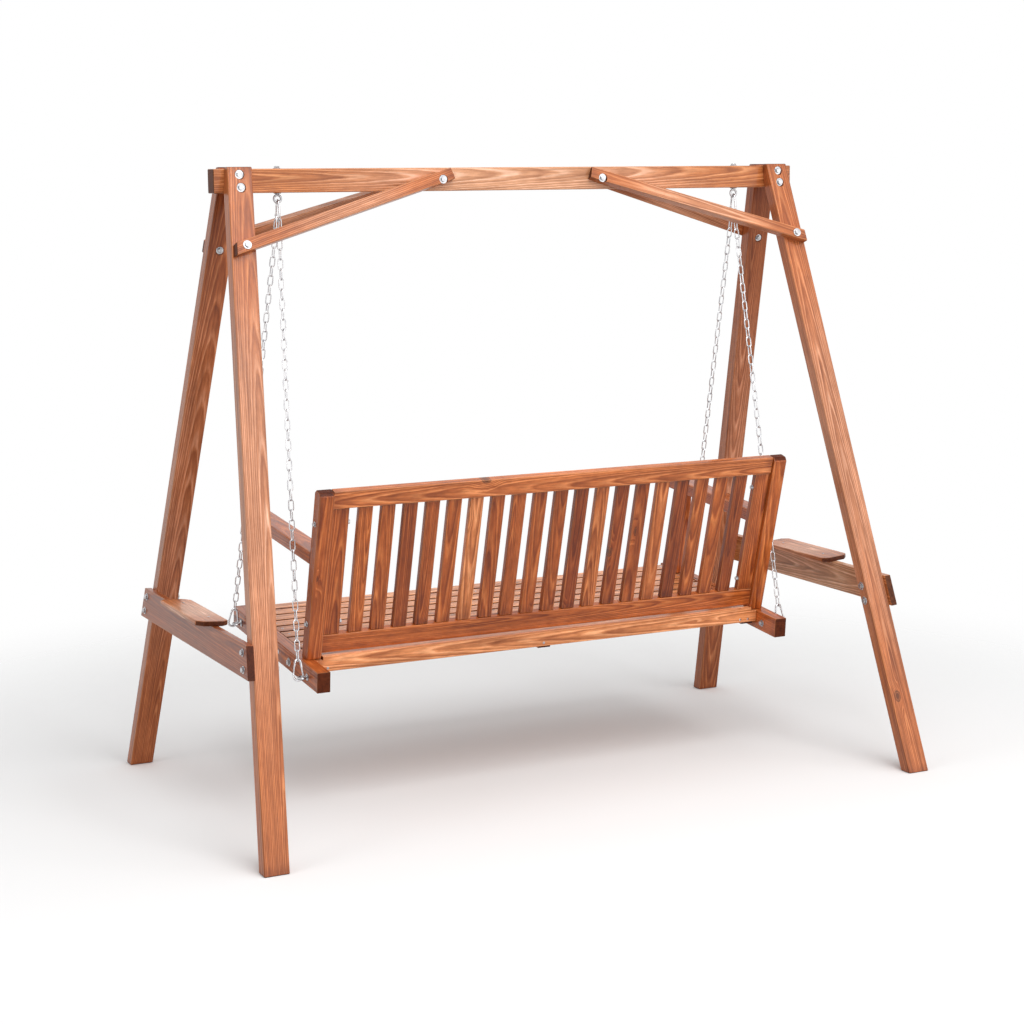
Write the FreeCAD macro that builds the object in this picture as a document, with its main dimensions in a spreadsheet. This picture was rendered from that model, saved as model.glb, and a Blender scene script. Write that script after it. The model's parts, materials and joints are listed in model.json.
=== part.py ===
import FreeCAD, Part
import math
import os
import Sketcher
from FreeCAD import Matrix, Placement, Rotation, Vector

# A free-standing garden swing: two splayed timber A-frames under a beam, and a slatted bench on chains.
# Frame: X along the beam, the bench faces -Y, +Z up, origin on the ground under the beam's middle.

doc = FreeCAD.newDocument("wooden_swing")

sizes = {
    # legs and beam
    "stand_height": 1750,
    "leg_width": 68,
    "leg_depth": 42,
    "leg_top_thickness": 23,
    "foot_half_depth": 605,
    "top_inner_half": 804,
    "foot_splay": 148,
    "beam_overhang": 28,
    "beam_depth": 50,
    "beam_height": 64,
    "beam_top_drop": 5,
    # knee braces
    "brace_width": 32,
    "brace_thickness": 27,
    "brace_drop": 172,
    "brace_beam_half": 250,
    "brace_beam_end": 33,
    "brace_leg_end": 31,
    "brace_housing": 2,
    # ties and shelves
    "tie_height": 86,
    "tie_thickness": 20,
    "tie_centre_height": 511,
    "tie_overhang": 10,
    "shelf_length": 345,
    "shelf_inner_overhang": 28,
    "shelf_outer_overhang": 42,
    "shelf_thickness": 14,
    "shelf_corner": 18,
    # bolts of the stand and the seat
    "bolt_diameter": 8,
    "bolt_clearance": 0.3,
    "washer_diameter": 24,
    "washer_thickness": 2,
    "hex_radius": 7.5,
    "head_height": 5,
    "nut_height": 6.5,
    "thread_end": 1,
    "counterbore_depth": 5,
    "spot_face_depth": 1.5,
    "counterbore_clearance": 1,
    "beam_bolt_spacing": 34,
    "tie_bolt_spacing": 42,
    "batten_bolt_rear_inset": 88,
    "batten_bolt_front_inset": 217.5,
    # place and tilt of the bench
    "bench_height": 390,
    "bench_tilt": 5.3,
    "bench_set_back": -5,
    # seat
    "bench_inset": 101,
    "rail_width": 38,
    "rail_height": 57,
    "rail_nose": 14.5,
    "rail_tail": 114,
    "batten_width": 40,
    "batten_height": 28,
    "seat_slat_count": 10,
    "seat_slat_width": 45,
    "seat_slat_gap": 9.5,
    "seat_slat_thickness": 16,
    "seat_slat_end_gap": 2,
    "seat_slat_drop": 2,
    "seat_back_edge": 148,
    "apron_thickness": 20,
    "apron_lift": 22,
    "apron_height": 44,
    "apron_gap": 3,
    "apron_notch_gap": 1,
    # back
    "stile_width": 42,
    "stile_depth": 40,
    "stile_lap": 24,
    "stile_foot_lap": 10,
    "stile_length": 488,
    "stile_corner": 9,
    "back_lean": 10.2,
    "panel_set_in": 8,
    "panel_thickness": 24,
    "panel_side_gap": 0.5,
    "top_rail_height": 50,
    "bottom_rail_height": 53,
    "bottom_rail_lift": 13,
    "back_slat_count": 19,
    "end_board_width": 49,
    "back_slat_width": 35,
    "back_slat_thickness": 18,
    "back_bolt_diameter": 6,
    "back_washer_diameter": 16,
    "back_hex_radius": 5.8,
    "back_bolt_low_inset": 34,
    "back_bolt_high_inset": 44,
    # arms and their posts
    "arm_width": 60,
    "arm_height": 36,
    "arm_top": 364,
    "arm_nose": 6,
    "arm_corner": 10,
    "post_depth": 40,
    "post_inset": 75.5,
    "tenon_width": 15,
    "tenon_depth": 22,
    "tenon_length": 22,
    "tenon_clearance": 0.2,
    # eye bolts
    "eye_inset": 86,
    "eye_radius": 10,
    "eye_wire": 6,
    "eye_collar": 3,
    "eye_collar_diameter": 20,
    "rail_eye_inset": 72,
    # snap hooks
    "hook_length": 56,
    "hook_wire": 6,
    "hook_narrow_radius": 8,
    "hook_wide_radius": 14,
    "hook_nose": 5,
    "gate_wire": 4.6,
    "gate_gap": 0.4,
    "gate_travel": 20,
    "hang_clearance": 0.3,
    # chains
    "link_pitch": 26.6,
    "link_wire": 3.5,
    "link_width": 17,
    "link_end_slope": 0.8,
    "link_clearance": 0.4,
    "chain_spread": 6,
}

sheet = doc.addObject("Spreadsheet::Sheet", "Sizes")
for row, (alias, number) in enumerate(sizes.items(), start=1):
    sheet.set("A%d" % row, alias)
    sheet.set("B%d" % row, str(number))
    sheet.setAlias("B%d" % row, alias)
doc.recompute()


def size(alias):
    return float(sheet.get(alias))


nodes = []


def keep(obj, label):
    obj.Label = label
    nodes.append(obj)
    return obj


def box(name, length, width, height, place):
    block = doc.addObject("Part::Box", name)
    block.setExpression("Length", length)
    block.setExpression("Width", width)
    block.setExpression("Height", height)
    block.Placement = place
    return block


def frame_placement(origin, first, second, third):
    return Placement(Matrix(first.x, second.x, third.x, origin.x,
                            first.y, second.y, third.y, origin.y,
                            first.z, second.z, third.z, origin.z,
                            0, 0, 0, 1))


# Bolts, washers and their bores have a few flats for their rounds, with one corner turned upward.
def rod(name, radius, length, start, direction, flats=6):
    upward = Vector(0, 0, 1) if abs(direction.z) < 0.9 else Vector(1, 0, 0)
    level = direction.cross(upward).normalize()
    bar = doc.addObject("Part::Prism", name)
    bar.Polygon = flats
    bar.setExpression("Circumradius", radius)
    bar.Height = length
    bar.Placement = frame_placement(start, level.cross(direction), level, direction)
    return bar


def disc(name, radius, length, start, direction):
    return rod(name, radius, length, start, direction, 8)


def cut(name, base, tools):
    tool = tools[0]
    if len(tools) > 1:
        tool = doc.addObject("Part::Compound", name + "_cutters")
        tool.Links = tools
    result = doc.addObject("Part::Cut", name)
    result.Base = base
    result.Tool = tool
    return result


def fuse(name, pieces):
    result = doc.addObject("Part::MultiFuse", name)
    result.Shapes = pieces
    return result


def group(name, pieces):
    result = doc.addObject("Part::Compound", name)
    result.Links = pieces
    return result


def mirror(name, source, normal):
    result = doc.addObject("Part::Mirroring", name)
    result.Source = source
    result.Normal = normal
    return result


# A body padded from a closed outline whose corners are expressions of the sheet.
def outline_body(name, role, corners, length, place=None):
    body = doc.addObject("PartDesign::Body", name)
    sketch = body.newObject("Sketcher::SketchObject", name + "_outline")
    plane = [feature for feature in body.Origin.OriginFeatures if feature.Role == role][0]
    sketch.AttachmentSupport = (plane, "")
    sketch.MapMode = "FlatFace"
    points = []
    for across, upward in corners:
        points.append(Vector(float(sheet.evalExpression(across)), float(sheet.evalExpression(upward)), 0))
    count = len(points)
    for i in range(count):
        sketch.addGeometry(Part.LineSegment(points[i], points[(i + 1) % count]), False)
    for i in range(count):
        sketch.addConstraint(Sketcher.Constraint("Coincident", i, 2, (i + 1) % count, 1))
    for i, (across, upward) in enumerate(corners):
        for kind, value, expression in (("DistanceX", points[i].x, across), ("DistanceY", points[i].y, upward)):
            index = sketch.addConstraint(Sketcher.Constraint(kind, -1, 1, i, 1, value))
            sketch.setExpression("Constraints[%d]" % index, expression)
    pad = body.newObject("PartDesign::Pad", name + "_pad")
    pad.Profile = sketch
    pad.setExpression("Length", length)
    if place:
        body.Placement = place
    return body


# A bent wire with flat facets: a polygon section carried along straight runs that are mitred at each corner.
def bent_wire(path, plane_normal, diameter, sides, closed):
    count = len(path)
    rings = []
    for i, point in enumerate(path):
        runs = []
        if closed or i > 0:
            runs.append((point - path[i - 1]).normalize())
        if closed or i < count - 1:
            runs.append((path[(i + 1) % count] - point).normalize())
        tangent = Vector()
        for run in runs:
            tangent = tangent + run
        tangent.normalize()
        sideways = plane_normal.cross(tangent)
        stretch = 1 / tangent.dot(runs[-1])
        ring = []
        for j in range(sides):
            turn = 2 * math.pi * j / sides
            ring.append(point + sideways * (math.cos(turn) * stretch * diameter / 2)
                        + plane_normal * (math.sin(turn) * diameter / 2))
        rings.append(ring)
    faces = []
    for i in range(count if closed else count - 1):
        here = rings[i]
        there = rings[(i + 1) % count]
        for j in range(sides):
            k = (j + 1) % sides
            faces.append(Part.Face(Part.makePolygon([here[j], here[k], there[k], there[j], here[j]])))
    if not closed:
        for ring in (rings[0], rings[-1]):
            faces.append(Part.Face(Part.makePolygon(ring + [ring[0]])))
    solid = Part.makeSolid(Part.makeShell(faces))
    if solid.Volume < 0:
        solid.reverse()
    return solid


# Shared lines of the stand
stand_height = size("stand_height")
top_half_depth = size("beam_depth") / 2 + size("leg_top_thickness")
leg_lean = (size("foot_half_depth") - top_half_depth) / stand_height
leg_splay = size("foot_splay") / stand_height
beam_top = stand_height - size("beam_top_drop")
beam_bottom = beam_top - size("beam_height")
beam_middle = beam_top - size("beam_height") / 2
across_axis = Vector(1, 0, 0)
depth_axis = Vector(0, 1, 0)
up_axis = Vector(0, 0, 1)


def leg_outer_y(height):
    return size("foot_half_depth") - leg_lean * height


def leg_inner_x(height):
    return size("top_inner_half") + size("foot_splay") - leg_splay * height


def leg_middle_x(height):
    return leg_inner_x(height) + size("leg_width") / 2


bolt_hole = "Sizes.bolt_diameter / 2 + Sizes.bolt_clearance"
counterbore = "Sizes.washer_diameter / 2 + Sizes.counterbore_clearance"


# A hex bolt with its washer, and its nut; prefix "back_" gives the smaller size.
def bolt(name, seat, outward, grip, prefix=""):
    length = grip + size("washer_thickness") + size("nut_height") + size("thread_end")
    start = seat + outward * size("washer_thickness")
    washer = disc(name + "_washer", "Sizes.%swasher_diameter / 2" % prefix, size("washer_thickness"),
                  seat, outward)
    shank = rod(name + "_shank", "Sizes.%sbolt_diameter / 2" % prefix, length, start, outward * -1)
    head = rod(name + "_head", "Sizes.%shex_radius" % prefix, size("head_height"), start, outward)
    return fuse(name, [head, washer, shank])


def nut(name, seat, outward, prefix=""):
    block = rod(name + "_block", "Sizes.%shex_radius" % prefix, size("nut_height"), seat, outward)
    bore = rod(name + "_bore", "Sizes.%sbolt_diameter / 2 + Sizes.bolt_clearance" % prefix,
               size("nut_height"), seat, outward)
    return cut(name, block, [bore])


# Beam
beam_half = leg_inner_x(beam_middle) + size("leg_width") + size("beam_overhang")
splay_at_beam = "Sizes.foot_splay * (Sizes.beam_top_drop + Sizes.beam_height / 2) / Sizes.stand_height"
beam_run = "2 * (Sizes.top_inner_half + %s + Sizes.leg_width + Sizes.beam_overhang)" % splay_at_beam
beam_place = Placement(Vector(-beam_half, -size("beam_depth") / 2, beam_bottom), Rotation())
beam_blank = box("beam_blank", beam_run, "Sizes.beam_depth", "Sizes.beam_height", beam_place)

# Leg: a foot outline swept up the lean and the splay, planed upright where it meets the beam
foot_x = "Sizes.top_inner_half + Sizes.foot_splay"
leg_blank = outline_body("leg_blank", "XY_Plane", [
    (foot_x, "Sizes.foot_half_depth - Sizes.leg_depth"),
    (foot_x + " + Sizes.leg_width", "Sizes.foot_half_depth - Sizes.leg_depth"),
    (foot_x + " + Sizes.leg_width", "Sizes.foot_half_depth"),
    (foot_x, "Sizes.foot_half_depth"),
], "Sizes.stand_height")
leg_pad = leg_blank.Tip
leg_pad.UseCustomVector = True
leg_pad.AlongSketchNormal = True
leg_pad.setExpression("Direction.x", "-Sizes.foot_splay")
leg_pad.setExpression("Direction.y", "Sizes.beam_depth / 2 + Sizes.leg_top_thickness - Sizes.foot_half_depth")
leg_pad.setExpression("Direction.z", "Sizes.stand_height")
seat_corner = Vector(leg_inner_x(stand_height) - size("leg_width"),
                     size("beam_depth") / 2 - 2 * size("leg_depth"),
                     stand_height - 3 * size("beam_height"))
beam_seat = box("beam_seat", "3 * Sizes.leg_width", "2 * Sizes.leg_depth", "4 * Sizes.beam_height",
                Placement(seat_corner, Rotation()))
leg_planed = cut("leg_planed", leg_blank, [beam_seat])

leg_cutters = []
beam_cutters = []
beam_bolts = []
beam_nuts = []
for step, height in enumerate((beam_middle - size("beam_bolt_spacing") / 2,
                               beam_middle + size("beam_bolt_spacing") / 2)):
    seat_y = leg_outer_y(height) - size("counterbore_depth")
    leg_x = leg_middle_x(beam_middle)
    leg_cutters.append(rod("beam_bolt_hole%d" % step, bolt_hole, 2 * size("foot_half_depth"),
                           Vector(leg_x, 0, height), depth_axis))
    leg_cutters.append(disc("beam_bolt_recess%d" % step, counterbore, size("leg_depth"),
                           Vector(leg_x, seat_y, height), depth_axis))
    for side in (1, -1):
        tag = "%d_%d" % (step, side)
        beam_cutters.append(rod("beam_hole" + tag, bolt_hole, 2 * size("beam_depth"),
                                Vector(side * leg_x, -size("beam_depth"), height), depth_axis))
        beam_bolts.append(bolt("beam_bolt" + tag, Vector(side * leg_x, seat_y, height), depth_axis, 2 * seat_y))
        beam_nuts.append(nut("beam_nut" + tag, Vector(side * leg_x, -seat_y, height), depth_axis * -1))

# Knee brace: a bar housed over the leg's outer face and planed to lie on the beam's face
lean_angle = math.atan(leg_lean)
leg_normal = Vector(0, math.cos(lean_angle), math.sin(lean_angle))
brace_height = beam_middle - size("brace_drop")
leg_point = Vector(leg_middle_x(brace_height), leg_outer_y(brace_height), brace_height)
leg_point = leg_point - leg_normal * size("brace_housing")
beam_point = Vector(size("brace_beam_half"),
                    size("beam_depth") / 2 - math.sin(lean_angle) * size("brace_width") / 2, beam_middle)
brace_axis = beam_point - leg_point
brace_run = brace_axis.Length
brace_axis.normalize()
brace_normal = leg_normal - brace_axis * leg_normal.dot(brace_axis)
brace_normal.normalize()
brace_rise = brace_normal.cross(brace_axis)
brace_place = frame_placement(leg_point, brace_axis, brace_rise, brace_normal)
leg_edge = Vector(-leg_splay, -leg_lean, 1)
brace_skew = leg_edge.dot(brace_axis) / leg_edge.dot(brace_rise)
half_width = "Sizes.brace_width / 2"
brace_blank = outline_body("brace_blank", "XY_Plane", [
    ("-Sizes.brace_leg_end - %.6f * %s" % (brace_skew, half_width), "-" + half_width),
    ("%.6f + Sizes.brace_beam_end" % brace_run, "-" + half_width),
    ("%.6f + Sizes.brace_beam_end" % brace_run, half_width),
    ("-Sizes.brace_leg_end + %.6f * %s" % (brace_skew, half_width), half_width),
], "Sizes.brace_thickness", brace_place)
brace_housed = cut("brace_housed", brace_blank, [leg_blank])
brace_planed = cut("brace_planed", brace_housed, [beam_blank])

brace_outer = leg_point + brace_normal * size("brace_thickness")
leg_through = size("brace_thickness") + size("leg_depth") * math.cos(lean_angle) - size("brace_housing")
leg_grip = leg_through - size("spot_face_depth")
leg_cutters.append(rod("brace_leg_hole", bolt_hole, 3 * size("leg_depth"),
                       leg_point + brace_normal * size("leg_depth"), brace_normal * -1))
leg_cutters.append(disc("brace_leg_spot", counterbore, size("leg_depth"),
                       brace_outer - brace_normal * leg_grip, brace_normal * -1))
brace_face_y = beam_point.y + size("brace_thickness") / brace_normal.y
beam_seat_y = brace_face_y - size("counterbore_depth")
brace_cutters = [
    rod("brace_hole_leg", bolt_hole, 2 * size("brace_thickness"),
        leg_point - brace_normal * size("brace_thickness") / 2, brace_normal),
    rod("brace_hole_beam", bolt_hole, 4 * size("beam_depth"),
        Vector(size("brace_beam_half"), 0, beam_middle), depth_axis),
    disc("brace_recess_beam", counterbore, size("brace_thickness"),
        Vector(size("brace_beam_half"), beam_seat_y, beam_middle), depth_axis),
]
brace_bolts = []
brace_nuts = []
for side in (1, -1):
    beam_cutters.append(rod("beam_brace_hole%d" % side, bolt_hole, 2 * size("beam_depth"),
                            Vector(side * size("brace_beam_half"), -size("beam_depth"), beam_middle),
                            depth_axis))
    brace_bolts.append(bolt("brace_beam_bolt%d" % side,
                            Vector(side * size("brace_beam_half"), beam_seat_y, beam_middle),
                            depth_axis, 2 * beam_seat_y))
    brace_nuts.append(nut("brace_beam_nut%d" % side,
                          Vector(side * size("brace_beam_half"), -beam_seat_y, beam_middle), depth_axis * -1))
    for end in (1, -1):
        tag = "%d_%d" % (side, end)
        outward = Vector(side * brace_normal.x, end * brace_normal.y, brace_normal.z)
        seat = Vector(side * brace_outer.x, end * brace_outer.y, brace_outer.z)
        brace_bolts.append(bolt("brace_leg_bolt" + tag, seat, outward, leg_grip))
        brace_nuts.append(nut("brace_leg_nut" + tag, seat - outward * leg_grip, outward * -1))

# Tie: lies on the outer sides of a leg pair, its ends cut along the legs; a small shelf rests on its top edge
splay_angle = math.atan(leg_splay)
side_normal = Vector(math.cos(splay_angle), 0, math.sin(splay_angle))
side_rise = Vector(-math.sin(splay_angle), 0, math.cos(splay_angle))
tie_height = size("tie_centre_height")
tie_origin = Vector(leg_inner_x(tie_height) + size("leg_width"), 0, tie_height)
tie_place = frame_placement(tie_origin, side_normal, depth_axis, side_rise)
lean_rate = "(Sizes.foot_half_depth - Sizes.beam_depth / 2 - Sizes.leg_top_thickness) / Sizes.stand_height"
tie_half = "(Sizes.foot_half_depth - %s * Sizes.tie_centre_height + Sizes.tie_overhang)" % lean_rate
tie_slant = "%s * Sizes.tie_height / 2" % lean_rate
tie_blank = outline_body("tie_blank", "YZ_Plane", [
    ("-%s - %s" % (tie_half, tie_slant), "-Sizes.tie_height / 2"),
    ("%s + %s" % (tie_half, tie_slant), "-Sizes.tie_height / 2"),
    ("%s - %s" % (tie_half, tie_slant), "Sizes.tie_height / 2"),
    ("-%s + %s" % (tie_half, tie_slant), "Sizes.tie_height / 2"),
], "Sizes.tie_thickness", tie_place)

shelf_low_x = "-Sizes.shelf_inner_overhang"
shelf_high_x = "Sizes.tie_thickness + Sizes.shelf_outer_overhang"
shelf_corners = []
for along, sign in (("-Sizes.shelf_length / 2", 1), ("Sizes.shelf_length / 2", -1)):
    clipped = along + (" + Sizes.shelf_corner" if sign > 0 else " - Sizes.shelf_corner")
    shelf_corners.append([
        (shelf_low_x, clipped),
        (shelf_low_x + " + Sizes.shelf_corner", along),
        (shelf_high_x + " - Sizes.shelf_corner", along),
        (shelf_high_x, clipped),
    ])
shelf_place = tie_place.multiply(Placement(Vector(0, 0, size("tie_height") / 2), Rotation()))
shelf = outline_body("shelf", "XY_Plane", shelf_corners[0] + shelf_corners[1][::-1],
                     "Sizes.shelf_thickness", shelf_place)

side_bores = []
tie_bolts = []
tie_nuts = []
tie_grip = size("tie_thickness") + size("leg_width") * math.cos(splay_angle)
for step, rise in enumerate((-size("tie_bolt_spacing") / 2, size("tie_bolt_spacing") / 2)):
    level = tie_origin + side_rise * rise
    bolt_y = leg_outer_y(level.z) - size("leg_depth") / 2
    for end in (1, -1):
        seat = level + depth_axis * (end * bolt_y) - side_normal * (tie_grip - size("tie_thickness"))
        bore = rod("tie_hole%d_%d" % (step, end), bolt_hole, 3 * tie_grip,
                   seat - side_normal * tie_grip, side_normal)
        side_bores.append(bore)
        if end > 0:
            leg_cutters.append(bore)
        for side in (1, -1):
            tag = "%d_%d_%d" % (step, end, side)
            place = Vector(side * seat.x, seat.y, seat.z)
            outward = Vector(-side * side_normal.x, 0, -side_normal.z)
            tie_bolts.append(bolt("tie_bolt" + tag, place, outward, tie_grip))
            tie_nuts.append(nut("tie_nut" + tag, place - outward * tie_grip, outward * -1))

# Pieces of the stand, mirrored from the rear left corner
leg = keep(cut("leg", leg_planed, leg_cutters), "leg_rear_left")
leg_far = keep(mirror("leg_rear_far", leg, across_axis), "leg_rear_right")
keep(mirror("leg_front", leg, depth_axis), "leg_front_left")
keep(mirror("leg_front_far", leg_far, depth_axis), "leg_front_right")
brace = keep(cut("brace", brace_planed, brace_cutters), "brace_rear_left")
brace_far = keep(mirror("brace_rear_far", brace, across_axis), "brace_rear_right")
keep(mirror("brace_front", brace, depth_axis), "brace_front_left")
keep(mirror("brace_front_far", brace_far, depth_axis), "brace_front_right")
tie = keep(cut("tie", tie_blank, side_bores), "tie_left")
keep(mirror("tie_far", tie, across_axis), "tie_right")
keep(shelf, "shelf_left")
keep(mirror("shelf_far", shelf, across_axis), "shelf_right")
keep(group("beam_bolt_set", beam_bolts), "beam_bolts")
keep(group("beam_nut_set", beam_nuts), "beam_nuts")
keep(group("brace_bolt_set", brace_bolts), "brace_bolts")
keep(group("brace_nut_set", brace_nuts), "brace_nuts")
keep(group("tie_bolt_set", tie_bolts), "tie_bolts")
keep(group("tie_nut_set", tie_nuts), "tie_nuts")


ring_flats = 8


# An eye bolt: a ring on a collar that seats on the wood, with a shank through to a nut.
def eye_bolt(name, seat, inward, ring_normal, grip):
    ring_centre = seat - inward * (size("eye_collar") + size("eye_wire") / 2 + size("eye_radius"))
    ring = doc.addObject("Part::Feature", name + "_ring")
    level = ring_normal.cross(inward)
    path = []
    for i in range(ring_flats):
        turn = 2 * math.pi * (i + 0.5) / ring_flats
        reach = size("eye_radius") / math.cos(math.pi / ring_flats)
        path.append(ring_centre + inward * (reach * math.cos(turn)) + level * (reach * math.sin(turn)))
    ring.Shape = bent_wire(path, ring_normal, size("eye_wire"), 4, True)
    collar = disc(name + "_collar", "Sizes.eye_collar_diameter / 2", size("eye_collar"), seat, inward * -1)
    neck = seat - inward * (size("eye_collar") + size("eye_wire") / 2)
    length = (seat - neck).Length + grip + size("nut_height") + size("thread_end")
    shank = rod(name + "_shank", "Sizes.bolt_diameter / 2", length, neck, inward)
    return fuse(name, [ring, collar, shank])


eye_reach = size("eye_collar") + size("eye_wire") / 2 + 2 * size("eye_radius")
pivot_height = beam_bottom - eye_reach
eye_half = size("top_inner_half") - size("eye_inset")
eye_bolts = []
eye_nuts = []
for side in (1, -1):
    eye_x = side * eye_half
    beam_cutters.append(rod("beam_eye_hole%d" % side, bolt_hole, 2 * size("beam_height"),
                            Vector(eye_x, 0, beam_bottom - size("beam_height") / 2), up_axis))
    eye_bolts.append(eye_bolt("beam_eye%d" % side, Vector(eye_x, 0, beam_bottom), up_axis, depth_axis,
                              size("beam_height")))
    eye_nuts.append(nut("beam_eye_nut%d" % side, Vector(eye_x, 0, beam_top), up_axis))
keep(cut("beam", beam_blank, beam_cutters), "top_beam")
keep(group("beam_eye_set", eye_bolts), "beam_eye_bolts")
keep(group("beam_eye_nut_set", eye_nuts), "beam_eye_nuts")

# Bench frame: X across, local Y to the rear along the seat rails, local Z up from their undersides
bench_place = Placement(Vector(0, size("bench_set_back"), size("bench_height")),
                        Rotation(across_axis, -size("bench_tilt")))


def bench_point(x, rear, rise):
    return bench_place.multVec(Vector(x, rear, rise))


def on_bench(x, rear, rise):
    return bench_place.multiply(Placement(Vector(x, rear, rise), Rotation()))


rail_inner = size("top_inner_half") - size("bench_inset")
between_rails = "2 * (Sizes.top_inner_half - Sizes.bench_inset)"
rail_outer = rail_inner + size("rail_width")
rail_top = size("rail_height")
slat_bottom = rail_top - size("seat_slat_drop") - size("seat_slat_thickness")
batten_bottom = slat_bottom - size("batten_height")
batten_middle = slat_bottom - size("batten_height") / 2
slat_step = size("seat_slat_width") + size("seat_slat_gap")
seat_front = size("seat_back_edge") - size("seat_slat_count") * slat_step + size("seat_slat_gap")
apron_front = size("seat_back_edge") + size("apron_gap")
seat_run = "(Sizes.seat_slat_count * (Sizes.seat_slat_width + Sizes.seat_slat_gap) - Sizes.seat_slat_gap)"
batten_run = seat_run + " + Sizes.apron_gap - Sizes.apron_thickness"
rail_run = seat_run + " + Sizes.rail_nose + Sizes.apron_gap + Sizes.stile_foot_lap + Sizes.rail_tail"
rail_front = seat_front - size("rail_nose")
stile_foot_rear = apron_front + size("stile_foot_lap")
rail_rear = stile_foot_rear + size("rail_tail")
stile_outer = rail_inner + size("stile_lap")
bench_up = bench_place.Rotation.multVec(up_axis)

# Seat slats, battens, front rail and rear apron
slats = []
for i in range(int(size("seat_slat_count"))):
    place = on_bench(-rail_inner + size("seat_slat_end_gap"), seat_front + i * slat_step, slat_bottom)
    slats.append(box("seat_slat%d" % i, between_rails + " - 2 * Sizes.seat_slat_end_gap",
                     "Sizes.seat_slat_width", "Sizes.seat_slat_thickness", place))
keep(group("seat_slat_set", slats), "seat_slats")

batten_rear_start = seat_front + size("apron_thickness")
batten_place = on_bench(rail_inner - size("batten_width"), batten_rear_start, batten_bottom)
batten_blank = box("batten_blank", "Sizes.batten_width", batten_run, "Sizes.batten_height", batten_place)
middle_place = on_bench(-size("batten_width") / 2, batten_rear_start, batten_bottom)
keep(box("batten_middle_bar", "Sizes.batten_width", batten_run, "Sizes.batten_height", middle_place),
     "seat_batten_middle")

keep(box("front_rail", between_rails, "Sizes.apron_thickness", "Sizes.batten_height",
         on_bench(-rail_inner, seat_front, batten_bottom)), "seat_front_rail")

apron_blank = box("apron_blank", between_rails, "Sizes.apron_thickness", "Sizes.apron_height",
                  on_bench(-rail_inner, apron_front, size("apron_lift")))
stile_inner = stile_outer - size("stile_width")
notch_low = rail_top - size("apron_notch_gap")
apron_notches = []
for side in (1, -1):
    corner = stile_inner - size("apron_notch_gap")
    start = corner if side > 0 else -corner - size("rail_width")
    apron_notches.append(box("apron_notch%d" % side, "Sizes.rail_width", "2 * Sizes.apron_thickness",
                             "Sizes.apron_height",
                             on_bench(start, apron_front - size("apron_thickness") / 2, notch_low)))
keep(cut("apron", apron_blank, apron_notches), "seat_rear_apron")

# Back frame: local Y to the rear, local Z up along the stiles, origin at the stile's rear foot on the rail
back_place = on_bench(0, stile_foot_rear, rail_top).multiply(
    Placement(Vector(), Rotation(across_axis, -size("back_lean"))))
lean_slope = math.tan(math.radians(size("back_lean")))
stile_run = size("stile_depth") / math.cos(math.radians(size("back_lean")))


def on_back(x, rear, rise):
    return back_place.multiply(Placement(Vector(x, rear, rise), Rotation()))


def stile_front(rise):
    return stile_foot_rear - stile_run + (rise - rail_top) * lean_slope


panel_rear = -size("panel_set_in")
panel_front = panel_rear - size("panel_thickness")
panel_middle = panel_rear - size("panel_thickness") / 2
panel_half = stile_inner - size("panel_side_gap")
slat_low = size("bottom_rail_lift") + size("bottom_rail_height")
slat_high = size("stile_length") - size("top_rail_height")
slat_run = "Sizes.stile_length - Sizes.top_rail_height - Sizes.bottom_rail_lift - Sizes.bottom_rail_height"
panel_run = between_rails + " + 2 * (Sizes.stile_lap - Sizes.stile_width - Sizes.panel_side_gap)"
keep(box("bottom_rail", panel_run, "Sizes.panel_thickness", "Sizes.bottom_rail_height",
         on_back(-panel_half, panel_front, size("bottom_rail_lift"))), "back_bottom_rail")
keep(box("top_rail", panel_run, "Sizes.panel_thickness", "Sizes.top_rail_height",
         on_back(-panel_half, panel_front, slat_high)), "back_top_rail")

back_slats = []
slat_count = int(size("back_slat_count"))
slat_front = panel_middle - size("back_slat_thickness") / 2
end_board_inner = panel_half - size("end_board_width")
slat_gap = (2 * end_board_inner - slat_count * size("back_slat_width")) / (slat_count + 1)
slat_pitch = slat_gap + size("back_slat_width")
for i in range(slat_count):
    middle_x = (i - (slat_count - 1) / 2) * slat_pitch
    place = on_back(middle_x - size("back_slat_width") / 2, slat_front, slat_low)
    back_slats.append(box("back_slat%d" % i, "Sizes.back_slat_width", "Sizes.back_slat_thickness",
                          slat_run, place))
keep(group("back_slat_set", back_slats), "back_slats")

end_board_blank = box("end_board_blank", "Sizes.end_board_width", "Sizes.back_slat_thickness", slat_run,
                      on_back(end_board_inner, slat_front, slat_low))

# Stile: stands on the rail with a stub tenon, leaning back, its top corners clipped
stile_place = on_back(stile_inner, 0, 0)
stile_foot = "-Sizes.stile_depth * tan(Sizes.back_lean * 1 deg)"
stile_blank = outline_body("stile_blank", "YZ_Plane", [
    ("0", "0"),
    ("0", "Sizes.stile_length - Sizes.stile_corner"),
    ("-Sizes.stile_corner", "Sizes.stile_length"),
    ("-Sizes.stile_depth + Sizes.stile_corner", "Sizes.stile_length"),
    ("-Sizes.stile_depth", "Sizes.stile_length - Sizes.stile_corner"),
    ("-Sizes.stile_depth", stile_foot),
], "Sizes.stile_width", stile_place)


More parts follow.
